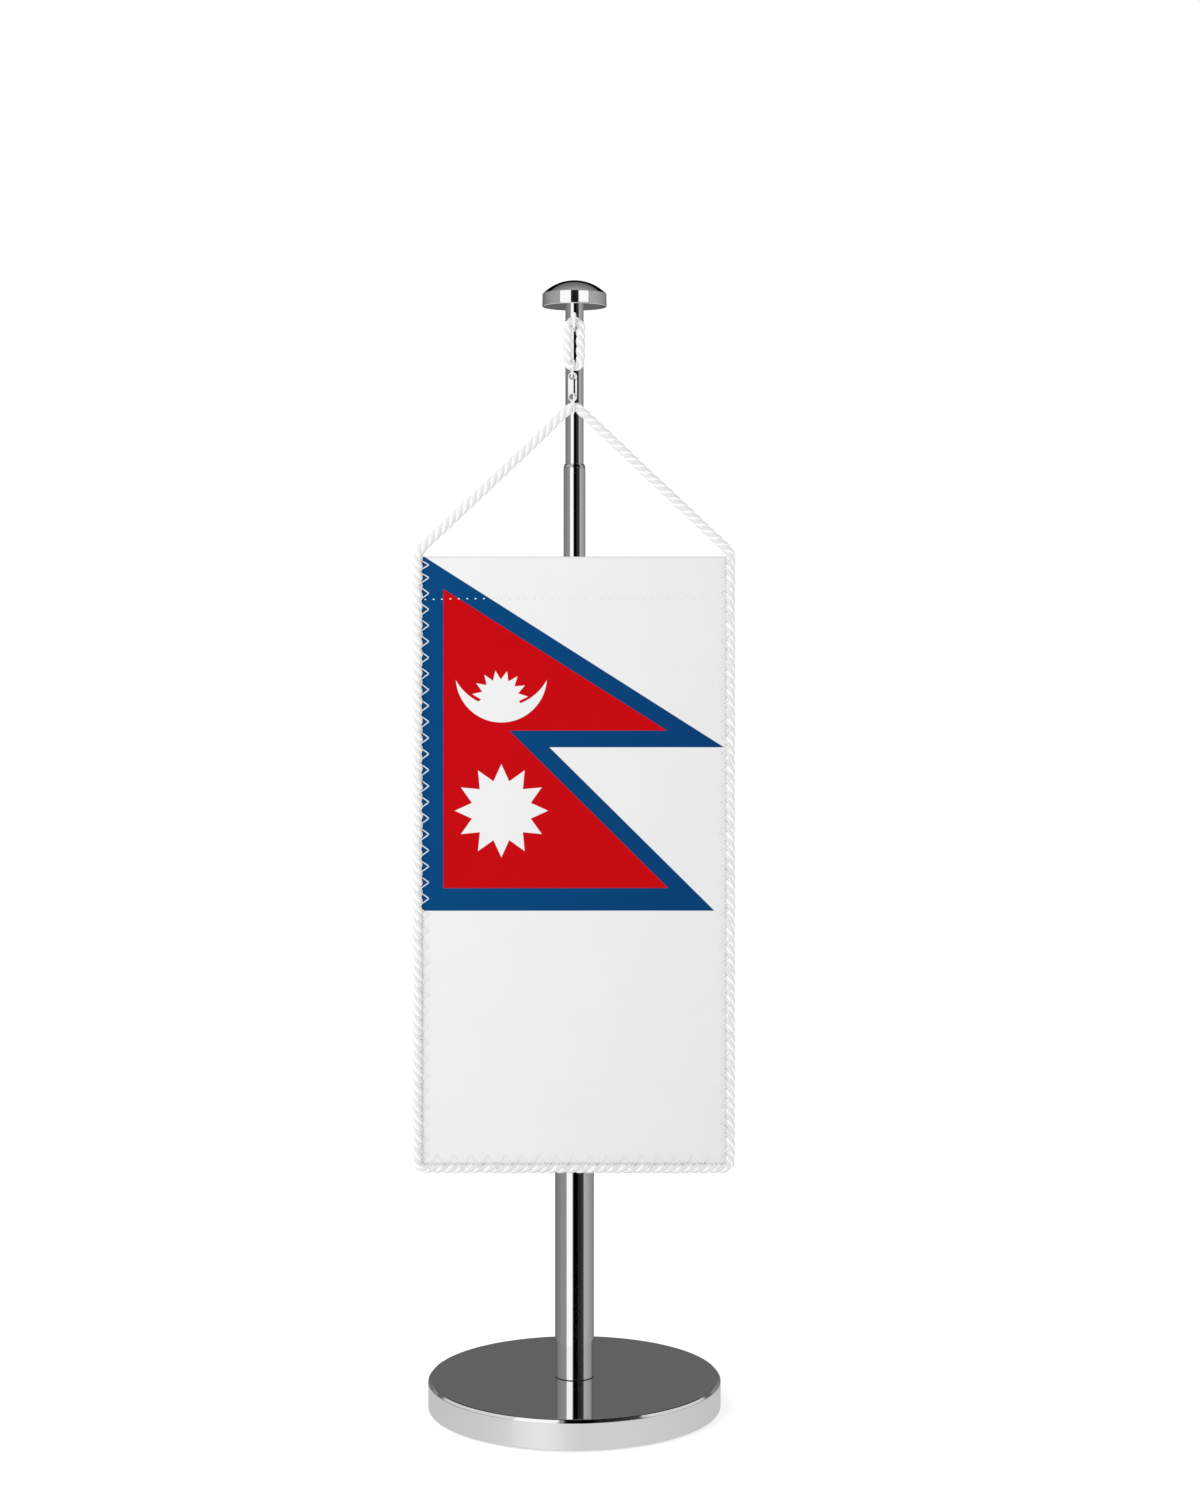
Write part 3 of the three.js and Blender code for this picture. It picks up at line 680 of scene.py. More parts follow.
def frames(line, closed):
    """Tangents and a pair of side directions along a line, turned as little as possible."""
    line = np.array(line, float)
    if closed:
        t = np.roll(line, -1, 0) - np.roll(line, 1, 0)
    else:
        t = np.gradient(line, axis=0)
    t /= np.linalg.norm(t, axis=1)[:, None]
    n = np.zeros_like(line)
    ref = np.array([0, 1.0, 0]) if abs(t[0][1]) < 0.9 else np.array([1.0, 0, 0])
    n[0] = ref - t[0] * (ref @ t[0])
    n[0] /= np.linalg.norm(n[0])
    for i in range(1, len(line)):
        v = n[i - 1] - t[i] * (n[i - 1] @ t[i])
        n[i] = v / np.linalg.norm(v)
    return t, n, np.cross(t, n)


def tube_parts(line, radius, sides, closed=False, caps=True, offset=0, turn=0.0):
    """Verts, faces and UVs (turns round, mm along) of a tube; radius is a number or one per point."""
    line = np.array(line, float)
    count = len(line)
    t, n, b = frames(line, closed)
    radius = np.full(count, radius) if np.isscalar(radius) else np.array(radius, float)
    along = np.concatenate([[0], np.cumsum(np.linalg.norm(np.diff(line, axis=0), axis=1))])
    ang = 2 * math.pi * np.arange(sides) / sides + turn
    ring = np.cos(ang)[None, :, None] * n[:, None, :] + np.sin(ang)[None, :, None] * b[:, None, :]
    verts = (line[:, None, :] + radius[:, None, None] * ring).reshape(-1, 3)
    faces, uvs = [], []
    last = count if closed else count - 1
    for i in range(last):
        j = (i + 1) % count
        va, vb = along[i], along[i + 1] if i + 1 < count else along[-1] + np.linalg.norm(line[0] - line[-1])
        for s in range(sides):
            q = (s + 1) % sides
            faces.append((offset + i * sides + s, offset + i * sides + q, offset + j * sides + q, offset + j * sides + s))
            u0, u1 = s / sides, (s + 1) / sides
            uvs += [(u0, va), (u1, va), (u1, vb), (u0, vb)]
    verts = [tuple(v) for v in verts]
    if caps and not closed:
        for end in (0, count - 1):
            ids = [offset + end * sides + s for s in range(sides)]
            if end == 0:
                ids = ids[::-1]
            faces.append(tuple(ids))
            uvs += [(0.0, along[end])] * sides
    return verts, faces, uvs


def round_ends(line, radius, steps=5):
    """A line and its radii, with a half ball at each end."""
    line = [np.array(p, float) for p in line]
    d0 = (line[0] - line[1]) / np.linalg.norm(line[0] - line[1])
    d1 = (line[-1] - line[-2]) / np.linalg.norm(line[-1] - line[-2])
    pts, rad = [], []
    for i in range(steps, 0, -1):
        a = math.pi / 2 * i / steps * 0.985
        pts.append(line[0] + d0 * radius * math.sin(a))
        rad.append(radius * math.cos(a))
    for p in line:
        pts.append(p)
        rad.append(radius)
    for i in range(1, steps + 1):
        a = math.pi / 2 * i / steps * 0.985
        pts.append(line[-1] + d1 * radius * math.sin(a))
        rad.append(radius * math.cos(a))
    return pts, rad


def resample(line, step=None, count=None):
    line = np.array(line, float)
    along = np.concatenate([[0], np.cumsum(np.linalg.norm(np.diff(line, axis=0), axis=1))])
    if count is None:
        count = max(2, int(math.ceil(along[-1] / step)) + 1)
    at = np.linspace(0, along[-1], count)
    return np.stack([np.interp(at, along, line[:, c]) for c in range(3)], axis=1), along[-1]


def rounded(vertices, y, turn_step=math.pi / 28):
    """The corners of a polyline in XZ, rounded: entries are (x, z, radius)."""
    out = []
    for i, (x, z, radius) in enumerate(vertices):
        p = np.array([x, z], float)
        if not radius:
            out.append((x, y, z))
            continue
        a = np.array(vertices[i - 1][:2], float) - p
        b = np.array(vertices[i + 1][:2], float) - p
        a /= np.linalg.norm(a)
        b /= np.linalg.norm(b)
        inside = math.acos(float(a @ b))
        reach = radius / math.tan(inside / 2)
        centre = p + (a + b) / np.linalg.norm(a + b) * radius / math.sin(inside / 2)
        s, e = p + a * reach - centre, p + b * reach - centre
        t0, t1 = math.atan2(s[1], s[0]), math.atan2(e[1], e[0])
        turn = (t1 - t0 + math.pi) % (2 * math.pi) - math.pi
        n = max(2, int(math.ceil(abs(turn) / turn_step)))
        for j in range(n + 1):
            t = t0 + turn * j / n
            out.append((centre[0] + radius * math.cos(t), y, centre[1] + radius * math.sin(t)))
    return out


def rope(name, route, turns, strand_at, strand_r, sides, per_turn, wobble=0.0):
    """Three strands laid left-handed round a route that lies in an XZ plane."""
    count = int(round(turns * per_turn)) + 1
    line, length = resample(route, count=count)
    s = np.linspace(0, 1, count)
    t = np.gradient(line, axis=0)
    t /= np.linalg.norm(t, axis=1)[:, None]
    side = np.cross(np.array([0, 1.0, 0])[None, :], t)          # Y x T
    if wobble:
        ease = np.minimum(1, np.minimum(s, 1 - s) * 40)
        mm = s * length
        line = line + side * (ease * wobble * (0.55 * np.sin(mm / 5.3 + 0.4) + 0.45 * np.sin(mm / 11.7 + 2.1)
                                             + 0.35 * np.sin(mm / 2.9 + 1.2)))[:, None]
        line[:, 1] += ease * wobble * 0.8 * np.sin(mm / 8.1 + 1.0)
    verts, faces, uvs = [], [], []
    up = np.array([0, 1.0, 0])
    for strand in range(3):
        phi = -2 * math.pi * turns * s + 2 * math.pi * strand / 3
        radial = np.cos(phi)[:, None] * side + np.sin(phi)[:, None] * up[None, :]
        grow = 1 + 0.03 * np.sin(s * length / 6.1 + strand * 2.0)
        centre = line + strand_at * radial
        tangent = np.gradient(centre, axis=0)
        tangent /= np.linalg.norm(tangent, axis=1)[:, None]
        n = radial - tangent * (radial * tangent).sum(1)[:, None]
        n /= np.linalg.norm(n, axis=1)[:, None]
        b = np.cross(tangent, n)
        along = np.concatenate([[0], np.cumsum(np.linalg.norm(np.diff(centre, axis=0), axis=1))])
        base = len(verts)
        ang = 2 * math.pi * np.arange(sides) / sides
        ring = np.cos(ang)[None, :, None] * n[:, None, :] * 0.99 + np.sin(ang)[None, :, None] * b[:, None, :] * 1.03
        pts = centre[:, None, :] + (strand_r * grow)[:, None, None] * ring
        verts += [tuple(v) for v in pts.reshape(-1, 3)]
        for i in range(count - 1):
            for q in range(sides):
                w = (q + 1) % sides
                faces.append((base + i * sides + q, base + i * sides + w, base + (i + 1) * sides + w, base + (i + 1) * sides + q))
                u0, u1 = q / sides, (q + 1) / sides
                uvs += [(u0, along[i]), (u1, along[i]), (u1, along[i + 1]), (u0, along[i + 1])]
        for end in (0, count - 1):
            ids = [base + end * sides + q for q in range(sides)]
            faces.append(tuple(ids[::-1] if end == 0 else ids))
            uvs += [(0.5, along[end])] * sides
    o = put_mesh(name, verts, faces, ["rope"], uvs, "strand", sharp=60)
    return o, line * MM, length


def ride(o, body, slot, *nodes):
    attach(o, body)
    if nodes:
        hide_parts(*nodes)
    return o


# ---- cords -------------------------------------------------------------------------------
LOOP_HALF, LOOP_TOP, LOOP_BOTTOM = 2.6, 441.6, 428.3


def make_loop():
    first = 0.15 / LOOP_HALF
    pts = []
    for i in range(25):
        a = -math.pi / 2 - first - (math.pi / 2 - first) * i / 24
        pts.append((LOOP_HALF * math.cos(a), HANG_Y, LOOP_BOTTOM + LOOP_HALF * math.sin(a)))
    for i in range(49):
        a = math.pi - math.pi * i / 48
        pts.append((LOOP_HALF * math.cos(a), HANG_Y, LOOP_TOP + LOOP_HALF * math.sin(a)))
    for i in range(25):
        a = -(math.pi / 2 - first) * i / 24
        pts.append((LOOP_HALF * math.cos(a), HANG_Y, LOOP_BOTTOM + LOOP_HALF * math.sin(a)))
    o, path, length = rope("hanger_loop_cord", pts, 3 + 2 / 3, 1.0, 0.92, 14, 28)
    ride(o, "loop", "cord", "hanger_loop")


def make_banner_cord():
    route = rounded([(-0.02, 100.4, 0), (-63.4, 100.4, 2.8), (-63.4, 350.5, 6), (0, 410.5, 3),
                     (63.4, 350.5, 6), (63.4, 100.4, 2.8), (0.02, 100.4, 0)], HANG_Y)
    o, path, length = rope("banner_edge_cord", route, 68 + 2 / 3, 1.05, 0.96, 12, 15, wobble=0.09)
    ride(o, "banner", "cord", "banner_cord")


make_loop()
make_banner_cord()


# ---- pole, base and knob --------------------------------------------------------------------
def make_pole():
    ride(lathe("base_disc", [
        (3.3, 6.5), (7.0, 6.5), (7.0, 1.0), (57.5, 1.0), (57.5, 0.5, 0.15), (60, 0.5, 0.45), (60, 11.3, 0.35), (59.3, 12.2, 0.08), (59.02, 12.5, 0.12), (3.3, 12.5),
    ], "chrome", segments=256, steps=10, guard=0.1), "stand", "chrome", "base_plate")
    ride(lathe("base_foot_pad", [
        (0, 0), (57, 0, 0.2), (57, 1.0), (0, 1.0),
    ], "pad", closed=False, segments=128), "stand", "pad", "base_pad")
    lower = lathe("pole_lower", [
        (7.0, 12.5), (7.78, 12.5), (8.0, 12.78), (8.0, 12.83), (8.0, 12.95), (8.0, 332.5), (7.0, 332.5),
    ], "chrome", segments=144, steps=5, sharp=30)
    # The chamfer at its foot is coloured dark: painted shade for the contact line where the tube meets the base.
    lower.data.materials.append(M["joint"])
    for p in lower.data.polygons:
        if p.center.z < 12.77 * MM and math.hypot(p.center.x, p.center.y) > 7.8 * MM:
            p.material_index = 1
    ride(lower, "stand", "chrome", "lower_tube")
    ride(lathe("pole_collar", [
        (6.0, 318.5), (6.9, 318.5, 0.2), (6.9, 332.5), (8.0, 332.5, 0.15), (8.0, 342.3, 1.6), (6.1, 344.5, 0.5),
        (4.95, 344.5, 0.2), (4.95, 342.2), (6.0, 342.2),
    ], "chrome", segments=128, steps=6), "stand", "chrome", "tube_collar")
    middle = lathe("pole_middle", [
        (4.0, 262.0), (4.5, 262.0, 0.12), (4.5, 385.5, 1.2), (4.32, 386.3, 0.9), (4.0, 386.97, 0.2), (3.82, 387.0, 0.08),
        (3.82, 384.6), (4.0, 384.2),
    ], "chrome", segments=128, steps=6, guard=0.05)
    # The drawn-in mouth is coloured as darker, duller chrome.
    middle.data.materials.append(M["chrome_dull"])
    for p in middle.data.polygons:
        if p.center.z > 385.35 * MM:
            p.material_index = 1
    ride(middle, "middle_stage", "chrome", "middle_tube")
    ride(lathe("pole_top", [
        (3.25, 326.5), (3.75, 326.5, 0.12), (3.75, 451.6), (3.25, 451.6),
    ], "chrome", segments=128, steps=5), "top_stage", "chrome", "top_tube")
    # The finial: straight side with a trace of draft, then a spherical cap.
    side_top, top, r = 456.85, 462.4, 13.12
    rise = top - side_top
    cap = (r * r + rise * rise) / (2 * rise)
    half = math.asin(r / cap)
    dome = []
    for i in range(1, 29):
        a = half * (1 - i / 28)
        dome.append((cap * math.sin(a), top - cap * (1 - math.cos(a))))
    dome[-1] = (0.0, top)
    ride(lathe("finial", [
        (0, 457.8), (1.65, 457.8), (1.65, 451.6), (13.25, 451.6, 0.35), (r, side_top, 0.16),
    ] + dome, "chrome", closed=False, segments=192, steps=6, guard=0.1), "top_stage", "chrome", "knob")


make_pole()


def make_hook():
    pts = [(0, 1.0, 441.6), (0, -3.9, 441.6), (0, -9, 441.6), (0, -14.3, 441.6)]
    for i in range(1, 15):
        a = -math.pi / 2 - math.pi / 2 * i / 14
        pts.append((0, -14.5 + 1.7 * math.cos(a), 443.3 + 1.7 * math.sin(a)))
    # The tip is swaged into a small bulb, so that it can't scratch.
    wires = [0.6] * len(pts)
    for z, r in ((443.8, 0.62), (444.3, 0.70), (444.9, 0.80), (445.6, 0.87), (446.2, 0.87), (446.7, 0.80), (447.1, 0.64), (447.35, 0.45), (447.48, 0.22), (447.5, 0.06)):
        pts.append((0, -16.2, z))
        wires.append(r)
    v, f, uv = tube_parts(pts, wires, 28)
    ride(put_mesh("pole_hook_wire", v, f, ["bright"], sharp=50), "top_stage", "chrome", "pole_hook")


make_hook()


# ---- rings and snap link ---------------------------------------------------------------------
def stadium(z_top, z_bottom, half_depth, x_top, x_bottom, n=20):
    mid, reach = (z_top + z_bottom) / 2, (z_top - z_bottom) / 2
    straight = reach - half_depth
    pts = []
    for sign in (1, -1):
        for i in range(n + 1):
            a = (0 if sign > 0 else math.pi) + math.pi * i / n
            y = half_depth * math.cos(a)
            z = half_depth * math.sin(a) + sign * straight
            t = (z + reach) / (2 * reach)
            pts.append((x_bottom + (x_top - x_bottom) * t, HANG_Y + y, mid + z))
    return pts


def make_rings():
    for name, node, args in (("loop_wire_ring", "loop_ring", (428.2, 421.45, 2.5, 0.0, -1.0)),
                             ("cord_wire_ring", "cord_ring", (414.8, 407.0, 2.45, -0.025, -0.2))):
        v, f, uv = tube_parts(stadium(*args), 0.3, 16, closed=True)
        o = put_mesh(name, v, f, ["bright"], sharp=60)
        outwards(o)
        ride(o, "link", "chrome", node)


make_rings()


def flat_curve_mesh(name, outlines, thickness, bevel, mat):
    """A flat plate in XZ with rounded edges, from closed outlines in mm; inner ones are holes."""
    data = bpy.data.curves.new(name, "CURVE")
    data.dimensions = "2D"
    data.fill_mode = "BOTH"
    data.extrude = thickness / 2 - bevel
    data.bevel_depth = bevel
    data.bevel_resolution = 4
    data.offset = -bevel
    for outline in outlines:
        s = data.splines.new("POLY")
        s.points.add(len(outline) - 1)
        for p, (x, z) in zip(s.points, outline):
            p.co = (x, z, 0, 1)
        s.use_cyclic_u = True
    bare = bpy.data.objects.new(name, data)
    scene.collection.objects.link(bare)
    bpy.context.view_layer.update()
    mesh = bpy.data.meshes.new_from_object(bare.evaluated_get(bpy.context.evaluated_depsgraph_get()))
    bpy.data.objects.remove(bare)
    bpy.data.curves.remove(data)
    co = np.zeros(len(mesh.vertices) * 3)
    mesh.vertices.foreach_get("co", co)
    co = co.reshape(-1, 3)
    out = np.stack([co[:, 0], HANG_Y + co[:, 2], co[:, 1]], axis=1) * MM
    mesh.vertices.foreach_set("co", out.ravel())
    mesh.materials.clear()
    mesh.materials.append(M[mat])
    bm = bmesh.new()
    bm.from_mesh(mesh)
    bmesh.ops.remove_doubles(bm, verts=bm.verts, dist=1e-7)
    bmesh.ops.recalc_face_normals(bm, faces=bm.faces)
    bm.to_mesh(mesh)
    bm.free()
    mesh.polygons.foreach_set("use_smooth", [True] * len(mesh.polygons))
    mesh.set_sharp_from_angle(angle=math.radians(28))
    mesh.name = name
    o = bpy.data.objects.new(name, mesh)
    scene.collection.objects.link(o)
    return o


def arc(cx, cz, r, a0, a1, n):
    return [(cx + r * math.cos(a0 + (a1 - a0) * i / n), cz + r * math.sin(a0 + (a1 - a0) * i / n)) for i in range(n + 1)]


def turned_y(name, corners, x, z, mat, body, slot, node, segments=48, closed=True, steps=4):
    """A turned piece about an axis along Y: entries are (radius, y from the hanging plane, fillet)."""
    prof = fillets(corners, closed, steps, 0.03)
    verts, rings = [], []
    for r, y in prof:
        if r < 1e-6:
            rings.append([len(verts)])
            verts.append((x, HANG_Y + y, z))
        else:
            start = len(verts)
            for j in range(segments):
                t = 2 * math.pi * j / segments
                verts.append((x + r * math.cos(t), HANG_Y + y, z + r * math.sin(t)))
            rings.append(list(range(start, start + segments)))
    faces = []
    pairs = list(zip(rings, rings[1:])) + ([(rings[-1], rings[0])] if closed else [])
    for lo, hi in pairs:
        for j in range(segments):
            k = (j + 1) % segments
            if len(lo) == 1:
                faces.append((lo[0], hi[k], hi[j]))
            elif len(hi) == 1:
                faces.append((lo[j], lo[k], hi[0]))
            else:
                faces.append((lo[j], lo[k], hi[k], hi[j]))
    o = put_mesh(name, verts, faces, [mat])
    outwards(o)
    o.data.set_sharp_from_angle(angle=math.radians(40))
    return ride(o, body, slot, node)


def make_link():
    left, right = -2.42, 1.15
    r, cx = (right - left) / 2, (left + right) / 2
    top, bottom = 423.5, 411.6
    # C-shaped plate: round ends, a slot up its middle, and the gate closes its open side.
    notch_top, notch_bottom = 420.8, 413.8
    ring = [p for p in arc(cx, top - r, r, 0, math.pi, 40) if not (p[0] > 0.3 and p[1] < notch_top)]
    ring += [p for p in arc(cx, bottom + r, r, math.pi, 2 * math.pi, 40) if not (p[0] > 0.3 and p[1] > notch_bottom)]
    ring += [(right, notch_bottom), (0.38, notch_bottom), (0.38, 414.4), (-0.43, 414.4), (-0.43, notch_top), (right, notch_top)]
    o = flat_curve_mesh("link_plate", [ring], 1.6, 0.2, "bright")
    ride(o, "link", "nickel", "snap_body")

    turned_y("link_eyelet", [
        (0.6, -1.0, 0.12), (1.12, -1.0, 0.16), (1.12, -0.81), (0.8, -0.81), (0.8, 0.81), (1.12, 0.81), (1.12, 1.0, 0.16), (0.6, 1.0, 0.12),
    ], -1.0, 421.6, "rivet", "link", "nickel", "snap_eyelet")
    turned_y("link_rivet", [
        (0, -1.05), (0.75, -1.05, 0.2), (1.15, -0.92, 0.08), (1.15, -0.81), (0.8, -0.81), (0.8, 0.81), (1.15, 0.81), (1.15, 0.92, 0.08),
        (0.75, 1.05, 0.2), (0, 1.05),
    ], -1.0, 413.45, "rivet", "link", "nickel", "snap_rivet", closed=False)

    bm = bmesh.new()
    bmesh.ops.create_cube(bm, size=1.0)
    for v in bm.verts:
        v.co = Vector(((0.8 + v.co.x * 0.7) * MM, (HANG_Y + v.co.y * 1.2) * MM, (417.3 + v.co.z * 6.5) * MM))
    bmesh.ops.bevel(bm, geom=bm.edges[:], offset=0.16 * MM, segments=4, profile=0.5, affect="EDGES")
    mesh = bpy.data.meshes.new("link_gate")
    bm.to_mesh(mesh)
    bm.free()
    mesh.materials.append(M["bright"])
    mesh.polygons.foreach_set("use_smooth", [True] * len(mesh.polygons))
    mesh.set_sharp_from_angle(angle=math.radians(40))
    g = bpy.data.objects.new("link_gate", mesh)
    scene.collection.objects.link(g)
    ride(g, "gate", "nickel", "snap_gate")


make_link()


# ---- banner -----------------------------------------------------------------------------------
BANNER_HALF, BANNER_TOP, BANNER_BOTTOM, SEAM_Z = 62.1, 349.3, 101.7, 331.35
ROD_Y, ROD_Z = -11.72, 347.3
FRONT_Y = -13.02
STITCH = 6.52
SIDE_TIPS = [345.3, 340.2] + [333.85 - STITCH * i for i in range(36) if 333.85 - STITCH * i > 104.5]
BOTTOM_TIPS = [-55.9 + 6.9 * i for i in range(17)]


def settle(x, z):
    """How far the hanging cloth stands off its plane, in mm, towards -Y."""
    top = min(1.0, max(0.0, (SEAM_Z - 4 - z) / 30))          # the rod and the hem keep the top straight
    body = 0.30 * math.sin(x / 19.0 + 0.6) * math.sin(z / 71.0 + 0.3) + 0.22 * math.sin(x / 41.0 - z / 57.0 + 1.1)
    body += 0.10 * math.sin(x / 8.7 + z / 23.0) * math.sin(z / 31.0)
    edge = min(1.0, max(0.0, (BANNER_HALF - abs(x)) / 9.0)) * min(1.0, max(0.0, (z - BANNER_BOTTOM) / 9.0))
    out = body * top * edge
    # The zigzag pulls the edges into small puckers.
    d = BANNER_HALF - abs(x)
    if d < 9 and z < BANNER_TOP - 3:
        pull = math.cos(2 * math.pi * (z - 333.85) / STITCH)
        out += -0.11 * pull * math.exp(-((d - 2.6) / 2.4) ** 2)
    d = z - BANNER_BOTTOM
    if d < 9:
        pull = math.cos(2 * math.pi * (x + 55.9) / 6.9)
        out += -0.11 * pull * math.exp(-((d - 2.9) / 2.4) ** 2)
    # The hem seam draws the cloth in.
    out -= 0.16 * math.exp(-((z - SEAM_Z) / 0.9) ** 2) * (1 + 0.45 * math.cos(2 * math.pi * x / 3.4))
    out += 0.05 * math.exp(-((z - SEAM_Z - 3.0) / 2.2) ** 2) * math.cos(2 * math.pi * x / 3.4 + math.pi)
    return out


def make_cloth():
    # The path of one thread down the cloth: up the front, over the rod and down behind it.
    path = []
    n = 196
    for i in range(n + 1):
        z = BANNER_BOTTOM + (ROD_Z - BANNER_BOTTOM) * i / n
        path.append((0, z, z))
    r = 1.30
    flat = ROD_Z
    for i in range(1, 15):
        a = math.pi - math.pi * i / 14
        path.append((1, (ROD_Y + r * math.cos(a), ROD_Z + r * math.sin(a)), flat + r * math.pi * i / 14))
    flat += r * math.pi
    down = [(ROD_Y + r, 346.6), (-10.55, 345.6), (-10.95, 344.4), (-11.5, 343.2), (-12.05, 342.1), (-12.38, 341.0),
            (-12.5, 339.8)] + [(-12.52, 338.6 - 1.2 * i) for i in range(6)] + [(-12.53, SEAM_Z), (-12.5, 330.6)]
    before = (ROD_Y + r, ROD_Z)
    for p in down:
        flat += math.hypot(p[0] - before[0], p[1] - before[1])
        path.append((1, p, flat))
        before = p
    columns = 112
    xs = [-BANNER_HALF + 2 * BANNER_HALF * i / columns for i in range(columns + 1)]
    verts, uv_of = [], []
    for kind, where, flat in path:
        for x in xs:
            if kind == 0:
                z = where
                ease = min(1.0, max(0.0, (ROD_Z - z) / 4.0))
                y = FRONT_Y - settle(x, z) * ease
            else:
                y, z = where
                if z < 342:
                    y += 0.10 * math.exp(-((z - SEAM_Z) / 0.9) ** 2) * (1 + 0.45 * math.cos(2 * math.pi * x / 3.4)) * -1.0
            verts.append((x, y, z))
            uv_of.append((x, flat))
    faces, uvs = [], []
    w = columns + 1
    for i in range(len(path) - 1):
        for j in range(columns):
            q = (i * w + j, i * w + j + 1, (i + 1) * w + j + 1, (i + 1) * w + j)
            faces.append(q)
            uvs += [uv_of[v] for v in q]
    o = put_mesh("banner_satin", verts, faces, ["satin", "satin_back"], uvs, "flat")
    mod = o.modifiers.new("cloth", "SOLIDIFY")
    mod.thickness = 0.34 * MM
    mod.offset = 0.0
    mod.use_rim = True
    mod.material_offset = 1
    mod.material_offset_rim = 1
    return o


def thread_runs(name, runs, radius, sides=10, round_caps=False):
    """Many short threads as one mesh."""
    verts, faces, uvs = [], [], []
    for run in runs:
        if round_caps:
            line, rad = round_ends(run, radius, 4)
        else:
            line, rad = run, radius
        v, f, u = tube_parts(line, rad, sides, offset=len(verts))
        verts += v
        faces += f
        uvs += u
    return put_mesh(name, verts, faces, ["thread"], uvs, "strand", sharp=70)


def zigzag(corners, step=0.45):
    """A thread through the needle points, rounded a little where it turns."""
    line, _ = resample(corners, step=step)
    line[1:-1] = 0.12 * line[:-2] + 0.76 * line[1:-1] + 0.12 * line[2:]
    return line


def cord_front(d):
    """Y of the cord's front, d mm from its middle, from the hanging plane."""
    return math.sqrt(max(0.0, 2.02 ** 2 - d * d))


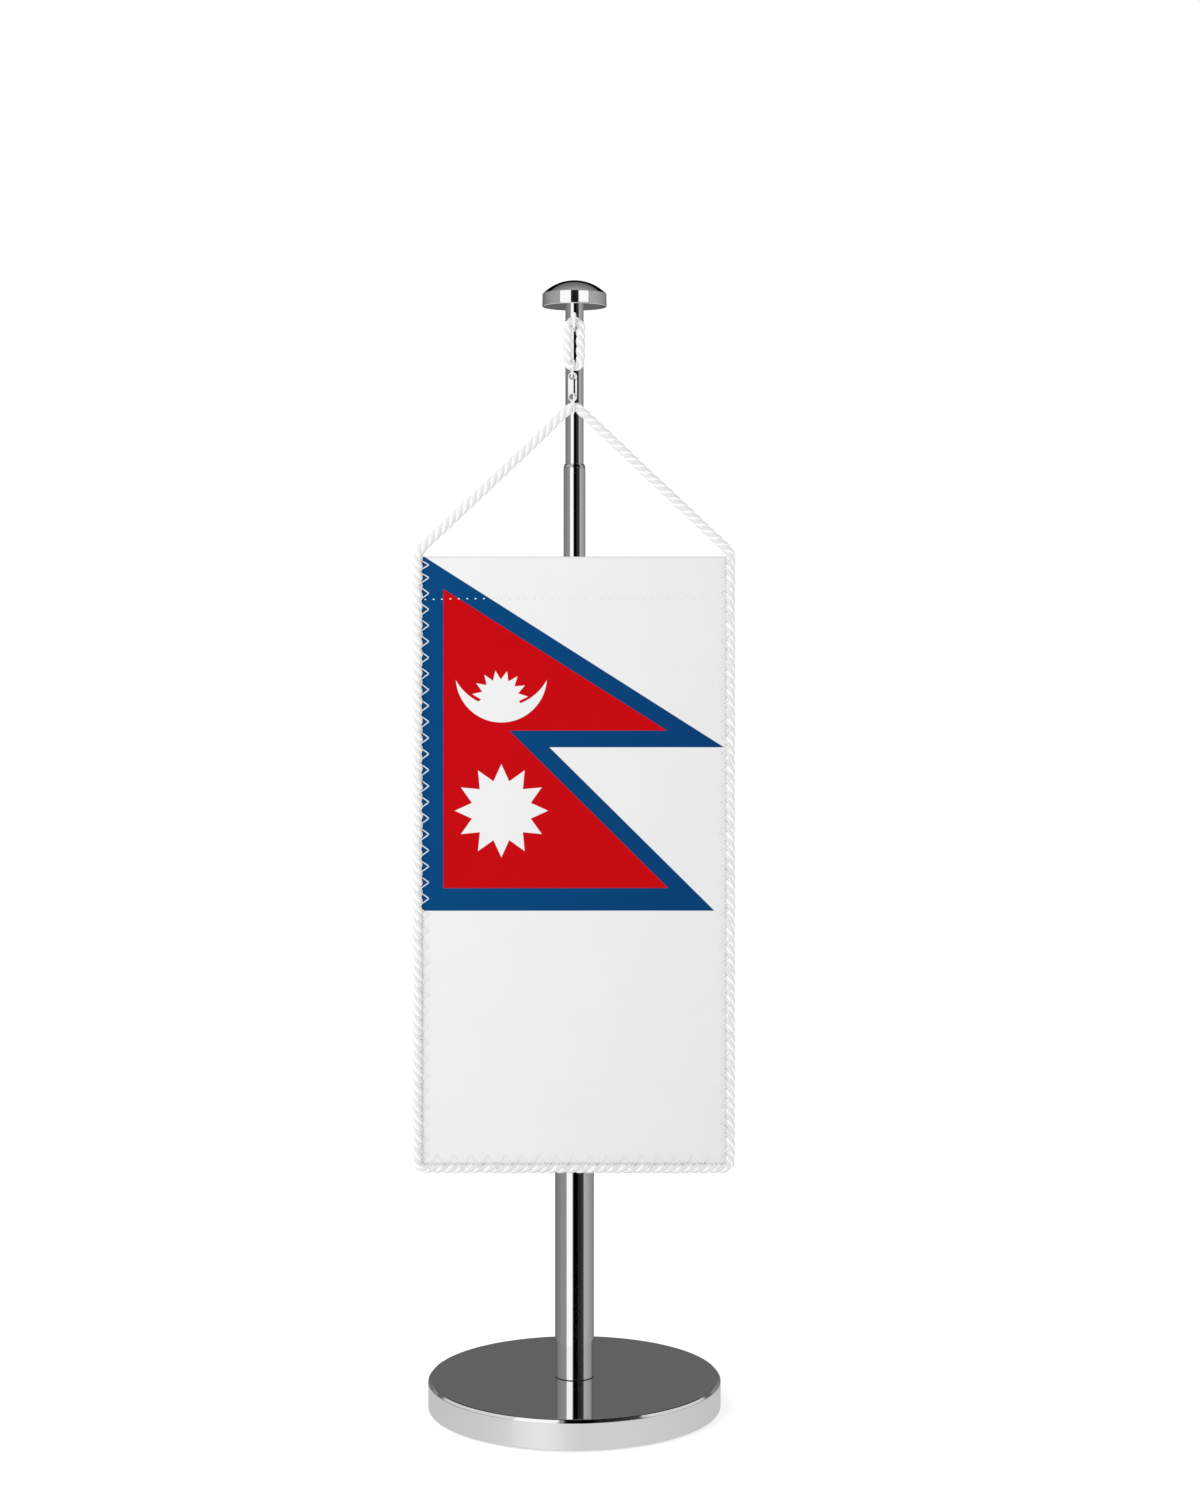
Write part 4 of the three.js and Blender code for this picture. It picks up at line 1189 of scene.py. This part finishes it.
def make_stitching():
    runs = []
    for face in (-1, 1):
        for side in (-1, 1):
            pts = []
            for i, tip in enumerate(SIDE_TIPS):
                nxt = SIDE_TIPS[i + 1] if i + 1 < len(SIDE_TIPS) else tip - STITCH
                before = SIDE_TIPS[i - 1] if i else tip + 5.2
                if not i:
                    a, b = np.array([63.4, (tip + before) / 2]), np.array([58.9, tip])
                    for t in np.linspace(0, 1, 12)[:-1]:
                        pts.append(a + (b - a) * t)
                a, b = np.array([58.9, tip]), np.array([63.4, (tip + nxt) / 2])
                for t in np.linspace(0, 1, 12)[:-1]:
                    pts.append(a + (b - a) * t)
                a, b = b, np.array([58.9, nxt])
                if i + 1 < len(SIDE_TIPS):
                    for t in np.linspace(0, 1, 12)[:-1]:
                        pts.append(a + (b - a) * t)
            line = []
            for x, z in pts:
                d = 63.4 - x
                cloth = FRONT_Y - settle(side * x, z) - 0.17 if face < 0 else FRONT_Y - settle(side * x, z) + 0.17
                if face > 0 and z > 330:
                    cloth = -12.34
                    if z > 341:
                        cloth = -12.34 + min(1.95, (z - 341) * 0.42)
                rope_y = HANG_Y + face * cord_front(d)
                on_cloth = cloth + face * 0.08
                if x <= 61.3:
                    y = on_cloth
                else:
                    y = min(on_cloth, rope_y) if face < 0 else max(on_cloth, rope_y)
                line.append((side * x, y, z))
            runs.append(zigzag(line, 0.5))
        pts = []
        for i, tip in enumerate(BOTTOM_TIPS):
            for a, b in (((tip - 3.45, 100.5), (tip, 105.95)), ((tip, 105.95), (tip + 3.45, 100.5))):
                for t in np.linspace(0, 1, 12)[:-1]:
                    pts.append((a[0] + (b[0] - a[0]) * t, a[1] + (b[1] - a[1]) * t))
        line = []
        for x, z in pts:
            cloth = FRONT_Y - settle(x, z) + face * 0.17
            rope_y = HANG_Y + face * cord_front(z - 100.4)
            on_cloth = cloth + face * 0.08
            if z >= 102.5:
                y = on_cloth
            else:
                y = min(on_cloth, rope_y) if face < 0 else max(on_cloth, rope_y)
            line.append((x, y, z))
        runs.append(zigzag(line, 0.5))
    zig = thread_runs("edge_zigzag_thread", runs, 0.24, 8)
    ride(zig, "banner", "cord")
    dots = []
    i = 0
    x = -60.4
    while x < 60.6:
        z = 331.4 + 0.9 * (x + 61) / 122 + 0.12 * math.sin(x * 1.7)
        for y0, face in ((FRONT_Y - settle(x, z) - 0.17, -1), (-12.44, 1)):
            y = y0 + face * 0.06
            dots.append([(x - 0.14, y, z - 0.02), (x - 0.05, y + face * 0.06, z), (x + 0.05, y + face * 0.06, z), (x + 0.14, y, z + 0.02)])
        x += 3.4
        i += 1
    seam = thread_runs("hem_seam_thread", dots, 0.28, 12, round_caps=True)
    ride(seam, "banner", "cord")
    return zig, seam


cloth = make_cloth()
zig, seam = make_stitching()
ride(cloth, "banner", "satin", "banner_cloth")


def make_rod():
    line = [(-59.0, ROD_Y, ROD_Z), (-58.5, ROD_Y, ROD_Z), (0, ROD_Y, ROD_Z), (58.5, ROD_Y, ROD_Z), (59.0, ROD_Y, ROD_Z)]
    pts, rad = round_ends(line, 0.6, 5)
    pts = [np.array(p) for p in line]
    rad = [0.95] * len(line)
    end, er = [], []
    for i in range(1, 6):
        a = math.pi / 2 * i / 5 * 0.98
        end.append(0.6 * math.sin(a))
        er.append(0.35 + 0.6 * math.cos(a))
    left = [np.array((-59.0 - e, ROD_Y, ROD_Z)) for e in end][::-1]
    right = [np.array((59.0 + e, ROD_Y, ROD_Z)) for e in end]
    v, f, uv = tube_parts(left + pts + right, er[::-1] + rad + er, 28)
    ride(put_mesh("hem_rod", v, f, ["rod"], sharp=50), "banner", "white_plastic", "banner_rod")


make_rod()


# ---- pieces that stay as the CAD makes them ------------------------------------------------------
INSIDE = {
    "base_screw": "steel", "base_washer": "steel", "tube_foot": "steel", "top_insert": "steel", "knob_stud": "steel",
    "collar_bush": "black", "middle_guide": "black", "middle_brake": "pad", "top_guide": "black", "top_brake": "pad",
}
for node, mat in INSIDE.items():
    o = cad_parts[node]
    if not o.material_slots:
        o.data.materials.append(M[mat])
    for s in o.material_slots:
        s.material = M[mat]

# The cords and the small link don't show in the pole's polish.
for name in ("hanger_loop_cord", "banner_edge_cord", "link_plate", "link_gate", "link_eyelet", "link_rivet",
             "loop_wire_ring", "cord_wire_ring", "pole_hook_wire"):
    bpy.data.objects[name].visible_glossy = False
